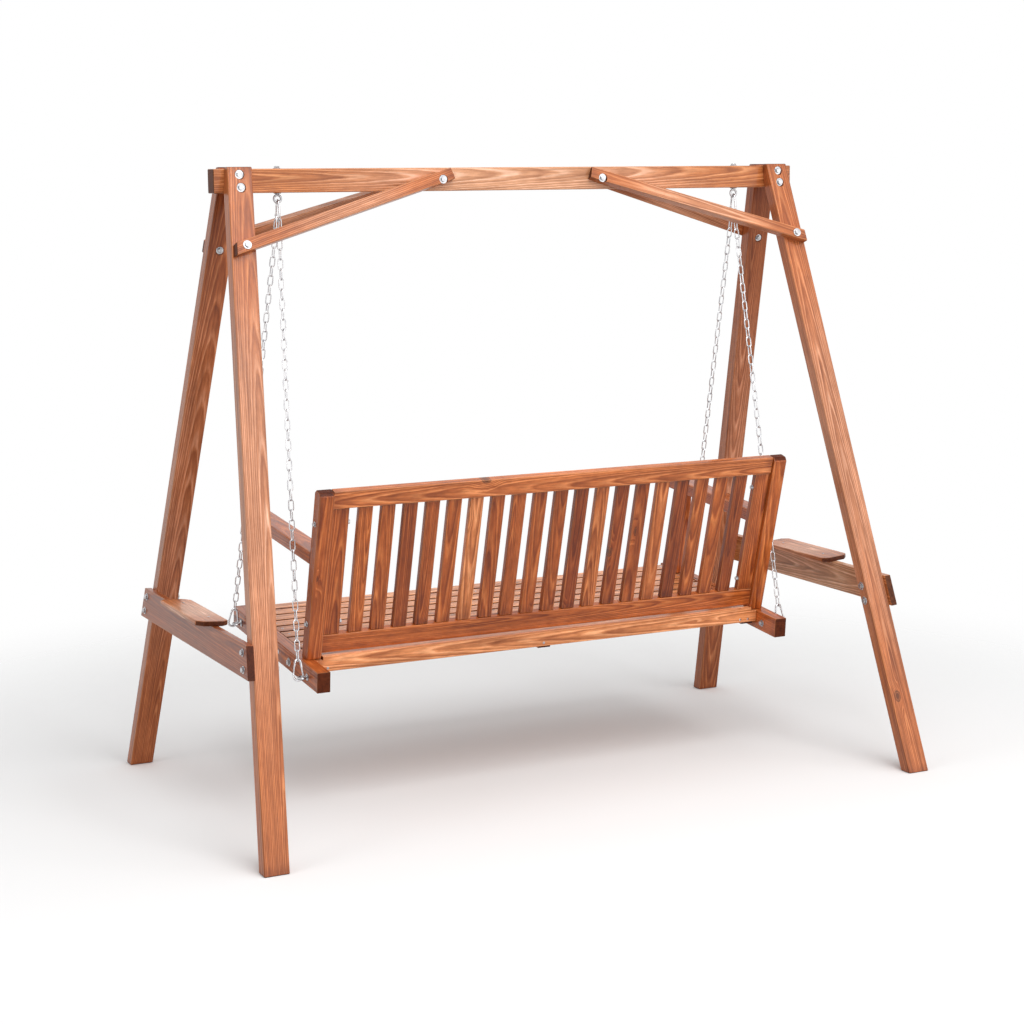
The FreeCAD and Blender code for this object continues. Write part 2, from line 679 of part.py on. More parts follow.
# A stub tenon and its mortise, as two boxes about one place on the bench.
def tenon(name, centre_x, rear, rise, length_axis):
    width = size("tenon_width")
    depth = size("tenon_depth")
    root = size("tenon_length") / 4
    blocks = []
    for suffix, growth in (("_tenon", "0"), ("_mortise", "Sizes.tenon_clearance")):
        grow = float(sheet.evalExpression(growth))
        length = "1.25 * Sizes.tenon_length + " + growth
        across = "Sizes.tenon_width + 2 * " + growth
        deep = "Sizes.tenon_depth + 2 * " + growth
        spans = (across, deep, length)
        corner = Vector(centre_x - width / 2 - grow, rear - depth / 2 - grow, rise - root)
        if length_axis == "down":
            corner.z = rise - size("tenon_length") - grow
        elif length_axis == "rear":
            spans = (across, length, deep)
            corner.y = rear - root
            corner.z = rise - depth / 2 - grow
        blocks.append(box(name + suffix, *spans, on_bench(corner.x, corner.y, corner.z)))
    return blocks


bearing_x = (rail_inner + stile_outer) / 2
arm_x = stile_outer - size("stile_width") / 2
arm_bottom = size("arm_top") - size("arm_height")
arm_middle = size("arm_top") - size("arm_height") / 2
foot_middle = stile_foot_rear - stile_run / 2
post_front = seat_front + size("post_inset")
post_middle = post_front + size("post_depth") / 2
stile_tenon, stile_mortise = tenon("stile_foot", bearing_x, foot_middle, rail_top, "down")
post_tenon, post_mortise = tenon("post_foot", bearing_x, post_middle, rail_top, "down")
post_head, arm_mortise = tenon("post_head", arm_x, post_middle, arm_bottom, "up")
arm_tenon, stile_arm_mortise = tenon("arm_rear", arm_x, stile_front(arm_middle), arm_middle, "rear")

# Bolts through a stile into the end board, with the nut in the last gap of the back
back_hole = "Sizes.back_bolt_diameter / 2 + Sizes.bolt_clearance"
back_bolts = []
back_nuts = []
stile_cutters = [stile_arm_mortise]
end_board_cutters = []
back_grip = stile_outer - end_board_inner
for step, rise in enumerate((slat_low + size("back_bolt_low_inset"), slat_high - size("back_bolt_high_inset"))):
    start = back_place.multVec(Vector(end_board_inner - size("stile_width"), panel_middle, rise))
    bore = rod("back_hole%d" % step, back_hole, 3 * back_grip, start, across_axis)
    stile_cutters.append(bore)
    end_board_cutters.append(bore)
    for side in (1, -1):
        tag = "%d_%d" % (step, side)
        outer = back_place.multVec(Vector(side * stile_outer, panel_middle, rise))
        inner = back_place.multVec(Vector(side * end_board_inner, panel_middle, rise))
        outward = across_axis * side
        back_bolts.append(bolt("back_bolt" + tag, outer, outward, back_grip, "back_"))
        back_nuts.append(nut("back_nut" + tag, inner, outward * -1, "back_"))

stile_whole = fuse("stile_whole", [stile_blank, stile_tenon])
stile = keep(cut("stile", stile_whole, stile_cutters), "back_stile_left")
keep(mirror("stile_far", stile, across_axis), "back_stile_right")
end_board = keep(cut("end_board", end_board_blank, end_board_cutters), "back_end_board_left")
keep(mirror("end_board_far", end_board, across_axis), "back_end_board_right")
keep(group("back_bolt_set", back_bolts), "back_bolts")
keep(group("back_nut_set", back_nuts), "back_nuts")

# Arm and its front post
arm_start = "Sizes.seat_back_edge - %s + Sizes.post_inset - Sizes.arm_nose" % seat_run
arm_underside = "Sizes.arm_top - Sizes.arm_height"
stile_foot_front = ("Sizes.seat_back_edge + Sizes.apron_gap + Sizes.stile_foot_lap"
                    " - Sizes.stile_depth / cos(Sizes.back_lean * 1 deg)")
stile_face = stile_foot_front + " + (%s - Sizes.rail_height) * tan(Sizes.back_lean * 1 deg)"
arm_blank = outline_body("arm_blank", "YZ_Plane", [
    (arm_start, arm_underside),
    (stile_face % arm_underside, arm_underside),
    (stile_face % "Sizes.arm_top", "Sizes.arm_top"),
    (arm_start + " + Sizes.arm_corner", "Sizes.arm_top"),
    (arm_start, "Sizes.arm_top - Sizes.arm_corner"),
], "Sizes.arm_width", on_bench(stile_outer - size("arm_width"), 0, 0))
arm = keep(cut("arm", fuse("arm_with_tenon", [arm_blank, arm_tenon]), [arm_mortise]), "arm_left")
keep(mirror("arm_far", arm, across_axis), "arm_right")
post_blank = box("post_blank", "Sizes.stile_width", "Sizes.post_depth",
                 "Sizes.arm_top - Sizes.arm_height - Sizes.rail_height",
                 on_bench(stile_inner, post_front, rail_top))
post = keep(fuse("post", [post_blank, post_tenon, post_head]), "arm_post_left")
keep(mirror("post_far", post, across_axis), "arm_post_right")

# Side rails with their eye bolts and the bolts of the outer battens
rail_blank = box("rail_blank", "Sizes.rail_width", rail_run, "Sizes.rail_height",
                 on_bench(rail_inner, rail_front, 0))
rail_cutters = [stile_mortise, post_mortise]
batten_cutters = []
batten_bolts = []
batten_nuts = []
batten_inner = rail_inner - size("batten_width")
for step, rear in enumerate((apron_front - size("batten_bolt_rear_inset"),
                             seat_front + size("batten_bolt_front_inset"))):
    bore = rod("batten_hole%d" % step, bolt_hole, 4 * size("batten_width"),
               bench_point(batten_inner - size("batten_width"), rear, batten_middle), across_axis)
    rail_cutters.append(bore)
    batten_cutters.append(bore)
    for side in (1, -1):
        tag = "%d_%d" % (step, side)
        outward = across_axis * side
        batten_bolts.append(bolt("batten_bolt" + tag, bench_point(side * rail_outer, rear, batten_middle),
                                 outward, rail_outer - batten_inner))
        batten_nuts.append(nut("batten_nut" + tag, bench_point(side * batten_inner, rear, batten_middle),
                               outward * -1))

rail_eyes = []
rail_eye_nuts = []
eye_places = {"rear": (rail_rear - size("rail_eye_inset"), rail_inner),
              "front": (rail_front + size("rail_eye_inset"), batten_inner)}
for end, (rear, nut_x) in eye_places.items():
    bore = rod("rail_eye_hole_" + end, bolt_hole, 4 * size("batten_width"),
               bench_point(batten_inner - size("batten_width"), rear, batten_middle), across_axis)
    rail_cutters.append(bore)
    if end == "front":
        batten_cutters.append(bore)
    for side in (1, -1):
        tag = "%s_%d" % (end, side)
        outward = across_axis * side
        rail_eyes.append(eye_bolt("rail_eye_" + tag, bench_point(side * rail_outer, rear, batten_middle),
                                  outward * -1, bench_up, rail_outer - nut_x))
        rail_eye_nuts.append(nut("rail_eye_nut_" + tag, bench_point(side * nut_x, rear, batten_middle),
                                 outward * -1))

rail = keep(cut("rail", rail_blank, rail_cutters), "seat_rail_left")
keep(mirror("rail_far", rail, across_axis), "seat_rail_right")
batten = keep(cut("batten", batten_blank, batten_cutters), "seat_batten_left")
keep(mirror("batten_far", batten, across_axis), "seat_batten_right")
keep(group("batten_bolt_set", batten_bolts), "batten_bolts")
keep(group("batten_nut_set", batten_nuts), "batten_nuts")
keep(group("rail_eye_set", rail_eyes), "rail_eye_bolts")
keep(group("rail_eye_nut_set", rail_eye_nuts), "rail_eye_nuts")


# Snap hook in its own plane: w towards the gate, q from the wide end's wire to the narrow end's wire
hook_length = size("hook_length")
wide = size("hook_wide_radius")
narrow = size("hook_narrow_radius")
flank = math.asin((wide - narrow) / (hook_length - wide - narrow))
gate_reach = math.sqrt((hook_length - wide - narrow) ** 2 - (wide - narrow) ** 2)
gate_dip = size("gate_wire") / 2 * math.sin(math.radians(size("gate_travel")))


# Corners of the flats that touch an arc from outside.
def arc_flats(centre_q, radius, start, stop, count):
    half_step = (stop - start) / count / 2
    reach = radius / math.cos(half_step)
    turns = [start + half_step * (2 * i + 1) for i in range(count)]
    return [(reach * math.cos(turn), centre_q + reach * math.sin(turn)) for turn in turns]


flank_direction = (-math.sin(flank), math.cos(flank))
hinge_w = wide * math.cos(flank)
hinge_q = wide + wide * math.sin(flank)
tip_w = narrow * math.cos(flank)
tip_q = hook_length - narrow + narrow * math.sin(flank)
nose = (tip_w - flank_direction[0] * size("hook_nose"), tip_q - flank_direction[1] * size("hook_nose"))
tail_drop = (gate_dip + size("gate_gap")) / wide
tail_turn = 2 * math.pi + flank - tail_drop
hook_outline = [nose]
hook_outline += arc_flats(hook_length - narrow, narrow, flank, math.pi - flank, 4)
hook_outline += arc_flats(wide, wide, math.pi - flank, 1.5 * math.pi, 3)
hook_outline += arc_flats(wide, wide, 1.5 * math.pi, tail_turn, 3)
hook_outline.append((wide * math.cos(tail_turn), wide + wide * math.sin(tail_turn)))
gate_length = gate_reach - size("hook_nose") - size("gate_gap")


class HookFrame:
    def __init__(self, origin, gate_side, lengthwise):
        self.origin = origin
        self.gate_side = gate_side
        self.lengthwise = lengthwise
        self.normal = gate_side.cross(lengthwise)

    def point(self, w, q):
        return self.origin + self.gate_side * w + self.lengthwise * q

    def body(self):
        path = [self.point(w, q) for w, q in hook_outline]
        return bent_wire(path, self.normal, size("hook_wire"), 4, False)

    def pivot(self):
        return self.point(hinge_w, hinge_q)

    def gate(self, name):
        reach = self.gate_side * flank_direction[0] + self.lengthwise * flank_direction[1]
        return rod(name, "Sizes.gate_wire / 2", gate_length, self.pivot(), reach)


# One chain link, about its centre: two straight sides and ends that come to a bend
link_wire = size("link_wire")
link_half_width = (size("link_width") - link_wire) / 2
link_tip = link_wire * math.hypot(1, size("link_end_slope"))


def link(centre, along, sideways, half_length):
    side_end = along * (half_length - link_half_width * size("link_end_slope"))
    out = sideways * link_half_width
    path = [centre + along * half_length, centre + side_end + out, centre - side_end + out,
            centre - along * half_length, centre - side_end - out, centre + side_end - out]
    return bent_wire(path, along.cross(sideways), link_wire, 3, True)


hook_seat = (size("eye_wire") + size("hook_wire")) / 2 + size("hang_clearance")
link_seat = (link_tip + size("hook_wire")) / 2 + size("hang_clearance")
top_hook_low = pivot_height + hook_seat - hook_length
inner_wide = wide - size("hook_wire") / 2
spread_rise = wide - math.sqrt(inner_wide ** 2 - size("chain_spread") ** 2)
chain_start = spread_rise + link_tip / 2 + 3 * size("hang_clearance")

hook_bodies = []
side_names = {"left": 1, "right": -1}
for side_name, side in side_names.items():
    top_hook = HookFrame(Vector(side * eye_half, 0, top_hook_low), depth_axis * -1, up_axis)
    hook_bodies.append(top_hook.body())
    keep(top_hook.gate("gate_top%d" % side), "hook_gate_top_" + side_name)
    print("gate", "top", side_name, top_hook.pivot(), top_hook.normal)
    for end, (rear, nut_x) in eye_places.items():
        spread = size("chain_spread") if end == "rear" else -size("chain_spread")
        start = Vector(side * eye_half, spread, top_hook_low + chain_start)
        eye = bench_point(side * (rail_outer + eye_reach), rear, batten_middle)
        down = (eye - start)
        span = down.Length
        down.normalize()
        outward = (across_axis * side - down * (side * down.x)).normalize()
        hook = HookFrame(eye + down * hook_seat, outward, down * -1)
        hook_bodies.append(hook.body())
        keep(hook.gate("gate_%s%d" % (end, side)), "hook_gate_%s_%s" % (end, side_name))
        print("gate", end, side_name, hook.pivot(), hook.normal)
        chain_run = span + hook_seat + link_seat - hook_length - size("link_clearance") - link_tip
        link_count = 2 * round(chain_run / size("link_pitch") / 2)
        pitch = chain_run / link_count
        half_length = (pitch + size("link_clearance") + link_tip) / 2
        turned = down.cross(outward)
        links = []
        for i in range(link_count):
            centre = start + down * (half_length + i * pitch)
            links.append(link(centre, down, turned if i % 2 else outward, half_length))
        chain = doc.addObject("Part::Feature", "chain_%s%d" % (end, side))
        chain.Shape = Part.makeCompound(links)
        keep(chain, "chain_%s_%s" % (end, side_name))
        print("chain", end, side_name, link_count, "links, pitch", round(pitch, 2))
hooks = doc.addObject("Part::Feature", "hooks")
hooks.Shape = Part.makeCompound(hook_bodies)
keep(hooks, "snap_hooks")
print("pivot height", pivot_height)

doc.recompute()
for obj in doc.Objects:
    if "Invalid" in obj.State or "Error" in obj.State:
        raise RuntimeError("failed object: " + obj.Name)
for node in nodes:
    if node.Shape.isNull() or not node.Shape.isValid():
        raise RuntimeError("bad shape: " + node.Label)
os.makedirs("parts", exist_ok=True)
for node in nodes:
    node.Shape.exportStep("parts/%s.step" % node.Label)
print(len(nodes), "nodes written")
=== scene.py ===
import json
import math
import random

import bmesh
import bpy
import numpy as np
from mathutils import Euler, Matrix, Vector


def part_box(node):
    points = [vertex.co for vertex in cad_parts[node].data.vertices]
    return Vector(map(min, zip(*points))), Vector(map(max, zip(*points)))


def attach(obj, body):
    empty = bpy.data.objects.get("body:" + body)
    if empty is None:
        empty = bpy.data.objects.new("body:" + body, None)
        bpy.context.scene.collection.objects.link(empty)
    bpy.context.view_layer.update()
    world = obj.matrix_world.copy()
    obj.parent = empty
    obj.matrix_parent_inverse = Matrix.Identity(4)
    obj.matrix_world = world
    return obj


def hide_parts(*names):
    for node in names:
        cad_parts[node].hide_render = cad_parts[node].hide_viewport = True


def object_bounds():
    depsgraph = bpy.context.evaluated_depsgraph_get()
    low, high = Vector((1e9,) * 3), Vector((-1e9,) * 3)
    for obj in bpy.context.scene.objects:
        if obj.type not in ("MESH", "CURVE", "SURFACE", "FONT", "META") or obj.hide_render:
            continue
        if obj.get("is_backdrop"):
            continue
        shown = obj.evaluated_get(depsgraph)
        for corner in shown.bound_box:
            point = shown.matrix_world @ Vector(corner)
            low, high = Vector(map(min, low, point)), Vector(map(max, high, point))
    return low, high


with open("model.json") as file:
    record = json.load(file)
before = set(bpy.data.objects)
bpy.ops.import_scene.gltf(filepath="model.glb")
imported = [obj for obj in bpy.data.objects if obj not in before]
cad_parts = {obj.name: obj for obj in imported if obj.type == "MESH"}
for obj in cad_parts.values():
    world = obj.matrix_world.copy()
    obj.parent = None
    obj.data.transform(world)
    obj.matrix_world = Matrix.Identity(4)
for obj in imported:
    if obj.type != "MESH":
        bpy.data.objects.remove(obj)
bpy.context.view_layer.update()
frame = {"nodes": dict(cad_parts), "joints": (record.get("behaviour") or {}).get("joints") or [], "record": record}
nodes = frame["nodes"]
slotOf = {part["node"]: part["material_slot"] for part in frame["record"]["subparts"]}
bodyOf = {node: body for body, members in frame["record"]["behaviour"]["bodies"].items() for node in members}
jointOf = {joint["child"]: joint for joint in frame["joints"]}


# a node socket that takes part in Python expressions
class Wire:
    def __init__(self, graph, socket):
        self.graph = graph
        self.socket = socket

    def maths(self, operation, *values):
        return self.graph.add("ShaderNodeMath", {"operation": operation}, dict(enumerate(values)))

    def __add__(self, other):
        return self.maths("ADD", self, other)

    def __sub__(self, other):
        return self.maths("SUBTRACT", self, other)

    def __rsub__(self, other):
        return self.maths("SUBTRACT", other, self)

    def __mul__(self, other):
        return self.maths("MULTIPLY", self, other)

    def __truediv__(self, other):
        return self.maths("DIVIDE", self, other)

    def __pow__(self, other):
        return self.maths("POWER", self, other)

    def __abs__(self):
        return self.maths("ABSOLUTE", self)

    __radd__ = __add__
    __rmul__ = __mul__

    def fraction(self):
        return self.maths("FRACT", self)

    def whole(self):
        return self.maths("FLOOR", self)

    def least(self, other):
        return self.maths("MINIMUM", self, other)

    def most(self, other):
        return self.maths("MAXIMUM", self, other)

    # a noise of 0 to 1, made to swing about 0
    def centred(self):
        return self - 0.5

    # 0 below low, 1 above high, eased between
    def eased(self, low, high):
        return self.graph.add("ShaderNodeMapRange", {"interpolation_type": "SMOOTHSTEP"},
                              {"Value": self, "From Min": low, "From Max": high})


# where a Mix node keeps its sockets for colours
mixSockets = {"factor": 0, "first": 6, "second": 7, "result": 2}


# the node tree of a material or of the world
class Graph:
    def __init__(self, owner):
        self.owner = owner
        owner.use_nodes = True
        self.tree = owner.node_tree
        self.tree.nodes.clear()

    def add(self, kind, settings=None, inputs=None, output=0):
        node = self.tree.nodes.new(kind)
        for key, value in (settings or {}).items():
            if key == "stops":
                stops = node.color_ramp.elements
                for i, (place, colour) in enumerate(value):
                    stop = stops[i] if i < len(stops) else stops.new(place)
                    stop.position = place
                    stop.color = (*colour, 1)
            else:
                setattr(node, key, value)
        for key, value in (inputs or {}).items():
            if isinstance(value, Wire):
                self.tree.links.new(value.socket, node.inputs[key])
            else:
                node.inputs[key].default_value = value
        return Wire(self, node.outputs[output]) if node.outputs else node

    def attribute(self, name, output="Vector"):
        return self.add("ShaderNodeAttribute", {"attribute_name": name}, output=output)

    def split(self, vector):
        first = self.add("ShaderNodeSeparateXYZ", inputs={0: vector})
        return [Wire(self, socket) for socket in first.socket.node.outputs]

    def vector(self, x, y, z):
        return self.add("ShaderNodeCombineXYZ", inputs={0: x, 1: y, 2: z})

    def noise(self, vector, scale=1, detail=2, roughness=0.5):
        return self.add("ShaderNodeTexNoise", inputs={"Vector": vector, "Scale": scale, "Detail": detail,
                                                      "Roughness": roughness})

    def ramp(self, stops, value):
        return self.add("ShaderNodeValToRGB", {"stops": stops}, {"Fac": value})

    def blend(self, amount, first, second, mode="MIX"):
        return self.add("ShaderNodeMix", {"data_type": "RGBA", "blend_type": mode},
                        {mixSockets["factor"]: amount, mixSockets["first"]: first, mixSockets["second"]: second},
                        output=mixSockets["result"])

    # a colour multiplied by a tint, as far as amount says
    def tinted(self, amount, colour, tint):
        return self.blend(amount, colour, self.blend(1.0, colour, (*tint, 1), "MULTIPLY"))

    # 1 where the camera, a mirror or glass looks at this surface
    def looked(self):
        rays = self.add("ShaderNodeLightPath").socket.node.outputs
        camera, glossy, through = (Wire(self, rays["Is " + kind + " Ray"])
                                   for kind in ("Camera", "Glossy", "Transmission"))
        return camera.most(glossy).most(through)

    def finish(self, shader, output="ShaderNodeOutputMaterial"):
        self.add(output, inputs={"Surface": shader})
        return self.owner


# what both timbers share
figureLook = {
    # noise waves per metre, along the board and across it
    "knotWobble": (90, 90), "wander": (1.1, 3), "ripple": (9, 42), "fibre": (16, 820), "streak": (2.2, 120),
    "cloud": (1.9, 14), "blotch": (22, 62), "pore": (42, 1500),
    # knots
    "knotChoice": 0.02, "knotStretch": 0.62, "knotRagged": 0.004, "knotLeast": 0.55, "knotSpread": 0.6,
    "knotShuffle": 37, "knotCore": (0.45, 1.0), "knotRimWide": (0.0, 0.28), "knotReach": (0.0, 0.04),
    # growth rings
    "wanderShare": 0.5, "rippleDeep": 0.0028, "knotPush": 0.009, "ringWaves": (0.33, 0.2), "ringDrift": 1.4,
    "lateRise": (0.5, 0.9), "lateFall": (0.92, 1.0), "lateLeast": 0.35,
    "paleRise": (0.0, 0.12), "paleFall": (0.16, 0.45), "paleLeast": 0.25,
    # pores, end grain, rubbed arrises, painted shade near the boards' ends and a painted sheen on the paler middle
    "poreEdge": (0.66, 0.76), "endEdge": (0.45, 0.75), "arrisWide": (0.0, 0.0045), "rubbedCloud": (0.3, 0.6),
    "jointShadeRagged": 0.03, "jointShadeWide": (0.004, 0.034), "middleSheenRagged": 0.7, "middleSheenWide": (0.1, 0.8),
    # how strongly each one shows
    "streakShare": 0.6, "poreShade": 0.35, "knotShade": 0.8, "rimShade": 0.7, "rubbedShade": 0.3, "endDark": 0.92,
    "coatLost": 0.75, "bumpStrength": 0.32, "bumpHeight": 0.0006,
    "relief": {"late": 0.6, "fibre": 0.5, "pore": 0.5, "knot": 0.3},
    "roughBy": {"fibre": 0.16, "late": 0.07, "end": 0.2, "cloud": 0.06},
}


# stained softwood; "grain" is measured from the heart of the tree, "board" from the middle of the board
def timber(name, look):
    g = Graph(bpy.data.materials.new(name))
    along, across, deep = g.split(g.attribute("grain"))
    tone = g.attribute("tone", "Fac")
    overX, overY, overZ = (abs(part) for part in g.split(g.attribute("board")))
    halfX, halfY, halfZ = g.split(g.attribute("boardHalf"))

    def figure(kind, detail=2, roughness=0.5):
        lengthwise, crosswise = figureLook[kind]
        place = g.vector(along * lengthwise, across * crosswise, deep * crosswise)
        return g.noise(place, detail=detail, roughness=roughness)

    # knots: a few seeded spots that the rings flow round
    spotX = along / look["knotSpan"]
    spotY = across / look["knotWidth"]
    spot = g.add("ShaderNodeTexVoronoi", {"voronoi_dimensions": "2D", "feature": "F1"},
                 {"Vector": g.vector(spotX, spotY, 0), "Scale": 1, "Randomness": 1}, output="Position")
    centreX, centreY = g.split(spot)[:2]
    offX = (spotX - centreX) * look["knotSpan"]
    offY = (spotY - centreY) * look["knotWidth"]
    chosen = g.add("ShaderNodeTexWhiteNoise", {"noise_dimensions": "2D"}, {"Vector": spot}, output="Value")
    present = chosen.eased(look["knotRare"], look["knotRare"] + figureLook["knotChoice"])
    knotFar = ((offX * figureLook["knotStretch"]) ** 2 + offY ** 2) ** 0.5
    knotFar = knotFar + figure("knotWobble").centred() * figureLook["knotRagged"]
    shuffled = (chosen * figureLook["knotShuffle"]).fraction()
    knotWide = look["knot"] * (figureLook["knotLeast"] + shuffled * figureLook["knotSpread"])
    knotOut = knotFar / knotWide
    knot = (1 - knotOut.eased(*figureLook["knotCore"])) * present
    knotRing = (1 - abs(knotOut - 1).eased(*figureLook["knotRimWide"])) * present
    push = (1 - knotFar.eased(*figureLook["knotReach"])) * present

    # growth rings about the heart, wandering along the board
    wander = figure("wander", detail=1).centred()
    ripple = figure("ripple").centred()
    sideways = across + wander * look["wander"]
    radius = (sideways ** 2 + deep ** 2) ** 0.5 + wander * look["wander"] * figureLook["wanderShare"]
    radius = radius + ripple * figureLook["rippleDeep"] + push * figureLook["knotPush"]
    count = radius / look["ringStep"]
    ringWaves, alongWaves = figureLook["ringWaves"]
    uneven = g.noise(g.vector(count * ringWaves, 0, along * alongWaves), detail=1).centred()
    count = count + uneven * figureLook["ringDrift"]
    phase = count.fraction()
    ringKind = g.add("ShaderNodeTexWhiteNoise", {"noise_dimensions": "1D"}, {"W": count.whole()}, output="Value")

    def band(rise, fall, least):
        return phase.eased(*rise) * (1 - phase.eased(*fall)) * (least + ringKind * (1 - least))

    late = band(figureLook["lateRise"], figureLook["lateFall"], figureLook["lateLeast"])
    pale = band(figureLook["paleRise"], figureLook["paleFall"], figureLook["paleLeast"])

    # fibres and pores run with the board
    fibre = figure("fibre", detail=3, roughness=0.6)
    streak = figure("streak")
    cloud = figure("cloud", detail=3)
    blotch = figure("blotch", detail=4, roughness=0.62)
    pore = figure("pore", detail=1).eased(*figureLook["poreEdge"])

    normal = g.add("ShaderNodeTexCoord", output="Normal")
    endOn = abs(g.add("ShaderNodeVectorMath", {"operation": "DOT_PRODUCT"},
                      {0: normal, 1: g.attribute("lengthwise")}, output="Value")).eased(*figureLook["endEdge"])

    # the nearest arris, as the middle one of three distances to the board's faces
    toX = halfX - overX
    toY = halfY - overY
    toZ = halfZ - overZ
    arris = toX.least(toY).most(toX.most(toY).least(toZ))
    rubbed = (1 - arris.eased(*figureLook["arrisWide"])) * cloud.eased(*figureLook["rubbedCloud"])
    # painted shade: darker near each board's ends, where it meets the next part
    endFar = toX + streak.centred() * figureLook["jointShadeRagged"]
    jointShade = (1 - endFar.eased(*figureLook["jointShadeWide"])) * look["jointShadeAmount"]
    # painted sheen: the middle of each stand board is lifted towards a pale pink, paler boards the more
    middleFar = overX / halfX + cloud.centred() * figureLook["middleSheenRagged"]
    middleSheen = (1 - middleFar.eased(*figureLook["middleSheenWide"])) * (1 - tone) * look["middleSheenAmount"]

    colour = g.ramp(look["tones"], tone)
    colour = g.tinted(late * look["ringShade"], colour, look["ring"])
    colour = g.tinted(pale * look["paleShade"], colour, look["pale"])
    streaky = streak * figureLook["streakShare"] + cloud * (1 - figureLook["streakShare"])
    for stops, value in (("streaks", streaky), ("fibres", fibre), ("blotches", blotch)):
        colour = g.blend(1.0, colour, g.ramp(look[stops], value), "MULTIPLY")
    colour = g.tinted(jointShade, colour, look["ring"])
    colour = g.tinted(middleSheen, colour, look["middleSheen"])
    for mask, shade, paint in ((pore, "poreShade", "knotHeart"), (knot, "knotShade", "knotHeart"),
                               (knotRing, "rimShade", "knotRim"), (rubbed, "rubbedShade", "rubbed")):
        colour = g.blend(mask * figureLook[shade], colour, (*look[paint], 1))
    colour = g.tinted(endOn * figureLook["endDark"], colour, look["endShade"])

    relief = figureLook["relief"]
    height = late * relief["late"] + fibre * relief["fibre"] - pore * relief["pore"] + knot * relief["knot"]
    bump = g.add("ShaderNodeBump", inputs={"Strength": figureLook["bumpStrength"],
                                           "Distance": figureLook["bumpHeight"], "Height": height})
    roughBy = figureLook["roughBy"]
    rough = look["rough"] + fibre.centred() * roughBy["fibre"] - late * roughBy["late"]
    rough = rough + endOn * roughBy["end"] + cloud * roughBy["cloud"]
    shader = g.add("ShaderNodeBsdfPrincipled",
                   inputs={"Base Color": colour, "Roughness": rough, "Normal": bump,
                           "Specular IOR Level": look["shine"], "Coat Roughness": look["coatRough"],
                           "Coat Weight": (1 - endOn * figureLook["coatLost"]) * look["coat"]})
    return g.finish(shader)


standLook = {
    "tones": [(0.0, (0.56, 0.2, 0.064)), (0.4, (0.47, 0.132, 0.038)), (1.0, (0.29, 0.063, 0.016))],
    "streaks": [(0.28, (0.52, 0.43, 0.35)), (0.52, (1.0, 1.0, 1.0)), (0.74, (1.36, 1.46, 1.56))],
    "fibres": [(0.28, (0.74, 0.7, 0.66)), (0.7, (1.18, 1.19, 1.2))],
    "blotches": [(0.3, (0.88, 0.84, 0.8)), (0.5, (1.0, 1.0, 1.0)), (0.72, (1.1, 1.13, 1.16))],
    "ring": (0.44, 0.3, 0.22), "ringShade": 0.6, "ringStep": 0.004, "wander": 0.013,
    # the painted sheen on the boards' middles (strength and tint), then the pale ring lines
    "middleSheenAmount": 1.7, "middleSheen": (1.28, 1.84, 3.1), "pale": (1.5, 1.95, 2.6), "paleShade": 0.95,
    # rubbed arrises, dark end grain, and how strong the painted shade near the boards' ends is
    "rubbed": (0.66, 0.3, 0.12), "endShade": (0.18, 0.12, 0.09), "jointShadeAmount": 0.45,
    "knot": 0.0085, "knotSpan": 0.5, "knotWidth": 0.1, "knotRare": 0.8,
    "knotHeart": (0.08, 0.022, 0.008), "knotRim": (0.03, 0.011, 0.006),
    "rough": 0.38, "shine": 0.16, "coat": 0.36, "coatRough": 0.15,
}
benchLook = dict(
    standLook, middleSheenAmount=0, ringStep=0.0036, ringShade=0.8, knotSpan=0.4, knotRare=0.74, coat=0.56, shine=0.08,
    # the palest stop is partly a painted sheen on the seat slats and partly the pale colour of boards such as the apron
    tones=[(0.0, (0.78, 0.3, 0.115)), (0.4, (0.53, 0.128, 0.026)), (0.95, (0.27, 0.05, 0.009)),
           # the last stop, near black, is painted shade for the seat slats' narrow edges
           (1.0, (0.06, 0.014, 0.006))],
    streaks=[(0.28, (0.44, 0.35, 0.27)), (0.52, (1.0, 1.0, 1.0)), (0.74, (1.44, 1.55, 1.66))],
    blotches=[(0.3, (0.8, 0.73, 0.66)), (0.5, (1.0, 1.0, 1.0)), (0.72, (1.16, 1.2, 1.24))])

plateLook = {
    "patchWaves": 55, "patchEdge": (0.35, 0.7), "patchRough": 0.22, "patchRelief": 0.6,
    "stainWaves": 180, "stainEdge": (0.6, 0.78), "stainRough": 0.12, "stainShade": 0.35,
    "crystals": 1400, "bumpStrength": 0.12, "bumpHeight": 0.0002,
}


# zinc plate: a fine grain of crystals, faint stains and slightly duller patches
def zincPlate(name, look):
    g = Graph(bpy.data.materials.new(name))
    place = g.add("ShaderNodeTexCoord", output="Object")
    patch = g.noise(place, plateLook["patchWaves"], detail=3)
    stain = g.noise(place, plateLook["stainWaves"])
    crystal = g.add("ShaderNodeTexVoronoi", {"feature": "F1"}, {"Vector": place, "Scale": plateLook["crystals"]},
                    output="Distance")
    colour = g.blend(patch.eased(*plateLook["patchEdge"]), (*look["bright"], 1), (*look["dull"], 1))
    stained = stain.eased(*plateLook["stainEdge"]) * plateLook["stainShade"]
    colour = g.blend(stained, colour, (*look["stain"], 1))
    rough = look["rough"] + patch.centred() * plateLook["patchRough"] + stain.centred() * plateLook["stainRough"]
    bump = g.add("ShaderNodeBump", inputs={"Strength": plateLook["bumpStrength"], "Distance": plateLook["bumpHeight"],
                                           "Height": crystal + patch * plateLook["patchRelief"]})
    shader = g.add("ShaderNodeBsdfPrincipled", inputs={"Base Color": colour, "Metallic": 1.0, "Roughness": rough,
                                                       "Normal": bump})
    return g.finish(shader)


